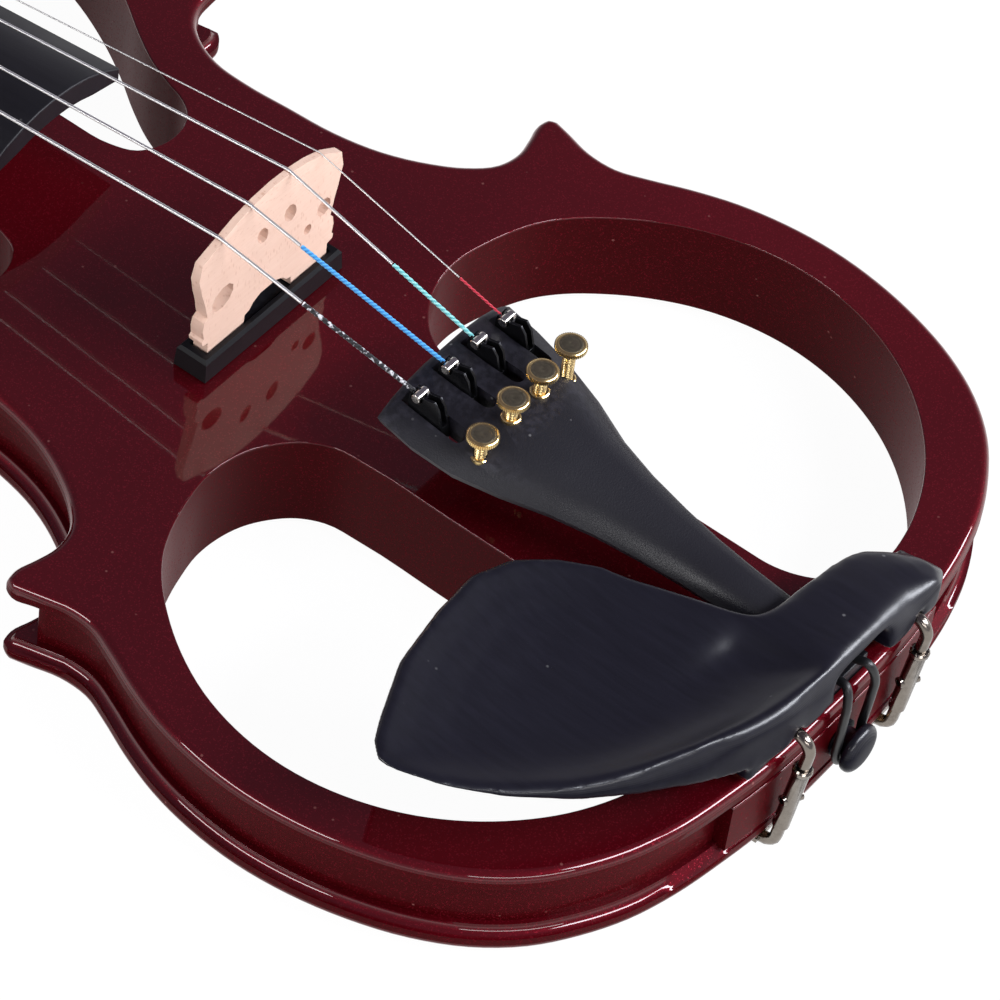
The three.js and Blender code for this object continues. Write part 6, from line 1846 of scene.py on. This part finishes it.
@dataclass
class Electronics(Assembly):
    """The control plate, knobs, switch, sockets, battery and lid in the back."""

    edge: float = 0.25
    knob_edge: float = 0.3
    jack_edge: float = 0.2
    battery_edge: float = 1.2
    head_radius: float = 2.1
    head_height: float = 1.2
    shank_radius: float = 1.15
    screw_length: float = 7.8

    def build(self, shop: Workshop) -> None:
        """Makes what is let into the back.

        Args:
            shop: The mesh workshop.
        """
        lid, switch, case = Body.LID.value, Body.SWITCH.value, Slot.BLACK_PLASTIC
        shop.refine("control_plate", PLASTIC, case, self.edge)
        shop.refine(lid, PLASTIC, case, self.edge, body=lid)
        shop.refine(switch, PLASTIC, case, self.knob_edge, body=switch)
        for knob in ("volume_knob", "tone_knob"):
            shop.refine(knob, PLASTIC, case, self.knob_edge, angle=30, body=knob)
        self._screws(shop)
        for jack in ("output_jack", "headphone_jack"):
            shop.refine(jack, DARK_METAL, Slot.BLACK_METAL, self.jack_edge, 2)
        for control in ("volume_control", "tone_control"):
            shop.dress_node(control, DARK_METAL)
        shop.dress_node("preamp_board", CIRCUIT)
        shop.refine("battery", CELL, Slot.BATTERY, self.battery_edge, 4)

    def _screws(self, shop: Workshop) -> None:
        """Makes the four plate screws as one piece.

        Args:
            shop: The mesh workshop.
        """
        nodes = [f"plate_screw_{number}" for number in range(1, 5)]
        spots = []
        for node in nodes:
            low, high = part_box(node)
            spots.append(((low.x + high.x) / 2, (low.y + high.y) / 2, low.z))
        mesh = bpy.data.meshes.new("plate_screw_spots")
        mesh.from_pydata(spots, [], [])
        piece = shop.grown("plate_screws", mesh, shop.growth.screws, NICKEL,
                           Head_Radius=self.head_radius / 1000,
                           Head_Height=self.head_height / 1000,
                           Shank_Radius=self.shank_radius / 1000,
                           Length=self.screw_length / 1000)
        shop.finish(piece, None, Body.VIOLIN.value, Slot.NICKEL, *nodes)


# Studio


@dataclass
class Lamp:
    """A soft rectangular lamp aimed at the violin, placed and sized in metres."""

    name: str
    place: tuple[float, float, float]
    size: Pair
    power: float
    colour: Colour = WHITE

    def build(self, aim: Vector) -> None:
        """Adds the lamp to the scene.

        Args:
            aim: The point that it faces.
        """
        data = bpy.data.lights.new(self.name, "AREA")
        data.shape = "RECTANGLE"
        data.size, data.size_y = self.size
        data.energy = self.power
        data.color = self.colour
        lamp = bpy.data.objects.new(self.name, data)
        lamp.location = Vector(self.place)
        lamp.rotation_mode = "QUATERNION"
        lamp.rotation_quaternion = (aim - lamp.location).to_track_quat("-Z", "Y")
        bpy.context.scene.collection.objects.link(lamp)


@dataclass
class Studio:
    """Floor, surroundings, lamps and the photograph's camera.

    Angles are in degrees, the camera's place and aim and the floor's height in millimetres,
    and what the camera sees, the floor's half width and the lamps in metres.
    """

    azimuth: float = -58.99206977
    elevation: float = 47.88392851
    roll: float = 8.71927876
    camera_place: tuple[float, float, float] = (-656.254, -460.258, 862.888)
    lens: float = 197.105
    sensor: float = 36.0
    seen: Pair = (0.01, 50.0)
    floor_half: float = 4.0
    floor_height: float = -3.62
    paper: Colour = (0.85, 0.85, 0.86)
    paper_glow: float = 1.05
    glow_share: float = 0.92
    low_light: Colour = (0.42, 0.41, 0.46)
    high_light: Colour = (0.13, 0.12, 0.16)
    aim: float = 20.0
    lamps: Sequence[Lamp] = (
        Lamp("bass_strip", (-1.25, 0.35, 0.75), (1.0, 0.2), 9.5),
        Lamp("corner_strip", (-0.75, -1.15, 0.62), (0.9, 0.16), 4.0),
        Lamp("chin_strip", (0.07, -1.08, 1.06), (0.56, 0.26), 11.0, COOL),
        Lamp("tail_strip", (0.59, -1.11, 0.85), (0.56, 0.26), 12.0, COOL),
        Lamp("treble_strip", (1.0, -0.91, 0.61), (0.56, 0.22), 10.0, COOL),
    )

    def build(self) -> None:
        """Makes the whole studio."""
        self._camera()
        self._floor()
        self._world()
        for lamp in self.lamps:
            lamp.build(mm(0, 0, self.aim))
        bpy.context.scene.view_settings.view_transform = "Standard"

    def _camera(self) -> None:
        """Adds the camera at the photograph's place."""
        azimuth, elevation, roll = (math.radians(v) for v in
                                    (self.azimuth, self.elevation, self.roll))
        back = Vector((math.sin(azimuth) * math.cos(elevation),
                       -math.cos(azimuth) * math.cos(elevation), math.sin(elevation)))
        level = Vector((math.cos(azimuth), math.sin(azimuth), 0))
        rise = back.cross(level)
        right = math.cos(roll) * level + math.sin(roll) * rise
        up = -math.sin(roll) * level + math.cos(roll) * rise
        data = bpy.data.cameras.new("photo_camera")
        data.sensor_fit = "HORIZONTAL"
        data.sensor_width = self.sensor
        data.lens = self.lens
        data.clip_start, data.clip_end = self.seen
        camera = bpy.data.objects.new("photo_camera", data)
        turn = Matrix((right, up, back)).transposed().to_4x4()
        camera.matrix_world = Matrix.Translation(mm(*self.camera_place)) @ turn
        bpy.context.scene.collection.objects.link(camera)
        bpy.context.scene.camera = camera

    def _floor(self) -> None:
        """Adds a white floor that keeps a faint shadow."""
        half, level = self.floor_half, self.floor_height / 1000
        mesh = bpy.data.meshes.new("studio_floor")
        mesh.from_pydata([(-half, -half, level), (half, -half, level), (half, half, level),
                          (-half, half, level)], [], [(0, 1, 2, 3)])
        floor = Workshop.placed("studio_floor", mesh)
        material = bpy.data.materials.new("white_paper")
        tree = emptied(material)
        paper = tree.add("ShaderNodeBsdfDiffuse", {"Color": self.paper})
        glow = tree.add("ShaderNodeEmission", {"Color": WHITE, "Strength": self.paper_glow})
        rays = tree.add("ShaderNodeLightPath").outputs
        seen = tree.math("MAXIMUM", rays["Is Camera Ray"],
                         tree.math("MAXIMUM", rays["Is Glossy Ray"],
                                   rays["Is Transmission Ray"]))
        share = tree.math("MULTIPLY", seen, self.glow_share)
        mixed = tree.add("ShaderNodeMixShader", {0: share, 1: paper.outputs[0],
                                                 2: glow.outputs[0]})
        tree.add("ShaderNodeOutputMaterial", {"Surface": mixed.outputs[0]})
        mesh.materials.append(material)

    def _world(self) -> None:
        """Sets pale surroundings that are darker overhead, as in a studio."""
        world = bpy.data.worlds.new("studio_surroundings")
        tree = emptied(world)
        way = tree.add("ShaderNodeTexCoord").outputs["Generated"]
        height = tree.add("ShaderNodeSeparateXYZ", {0: way}).outputs[2]
        shade = tree.mix(tree.ramp(height, low=0.12, high=0.5), self.low_light, self.high_light)
        rays = tree.add("ShaderNodeLightPath").outputs
        colour = tree.mix(rays["Is Camera Ray"], shade, WHITE)
        sky = tree.add("ShaderNodeBackground", {"Color": colour, "Strength": 1.0})
        tree.add("ShaderNodeOutputWorld", {"Surface": sky.outputs[0]})
        bpy.context.scene.world = world


def main() -> None:
    """Builds the violin's looks and its studio."""
    shop = Workshop(Effects(), Growth())
    Studio().build()
    for part in (FrameBody(), BridgeAndPickup(), Tailpiece(), StringSet(), Pegs(),
                 TailFittings(), Chinrest(), Electronics()):
        part.build(shop)


if __name__ == "__main__":
    main()
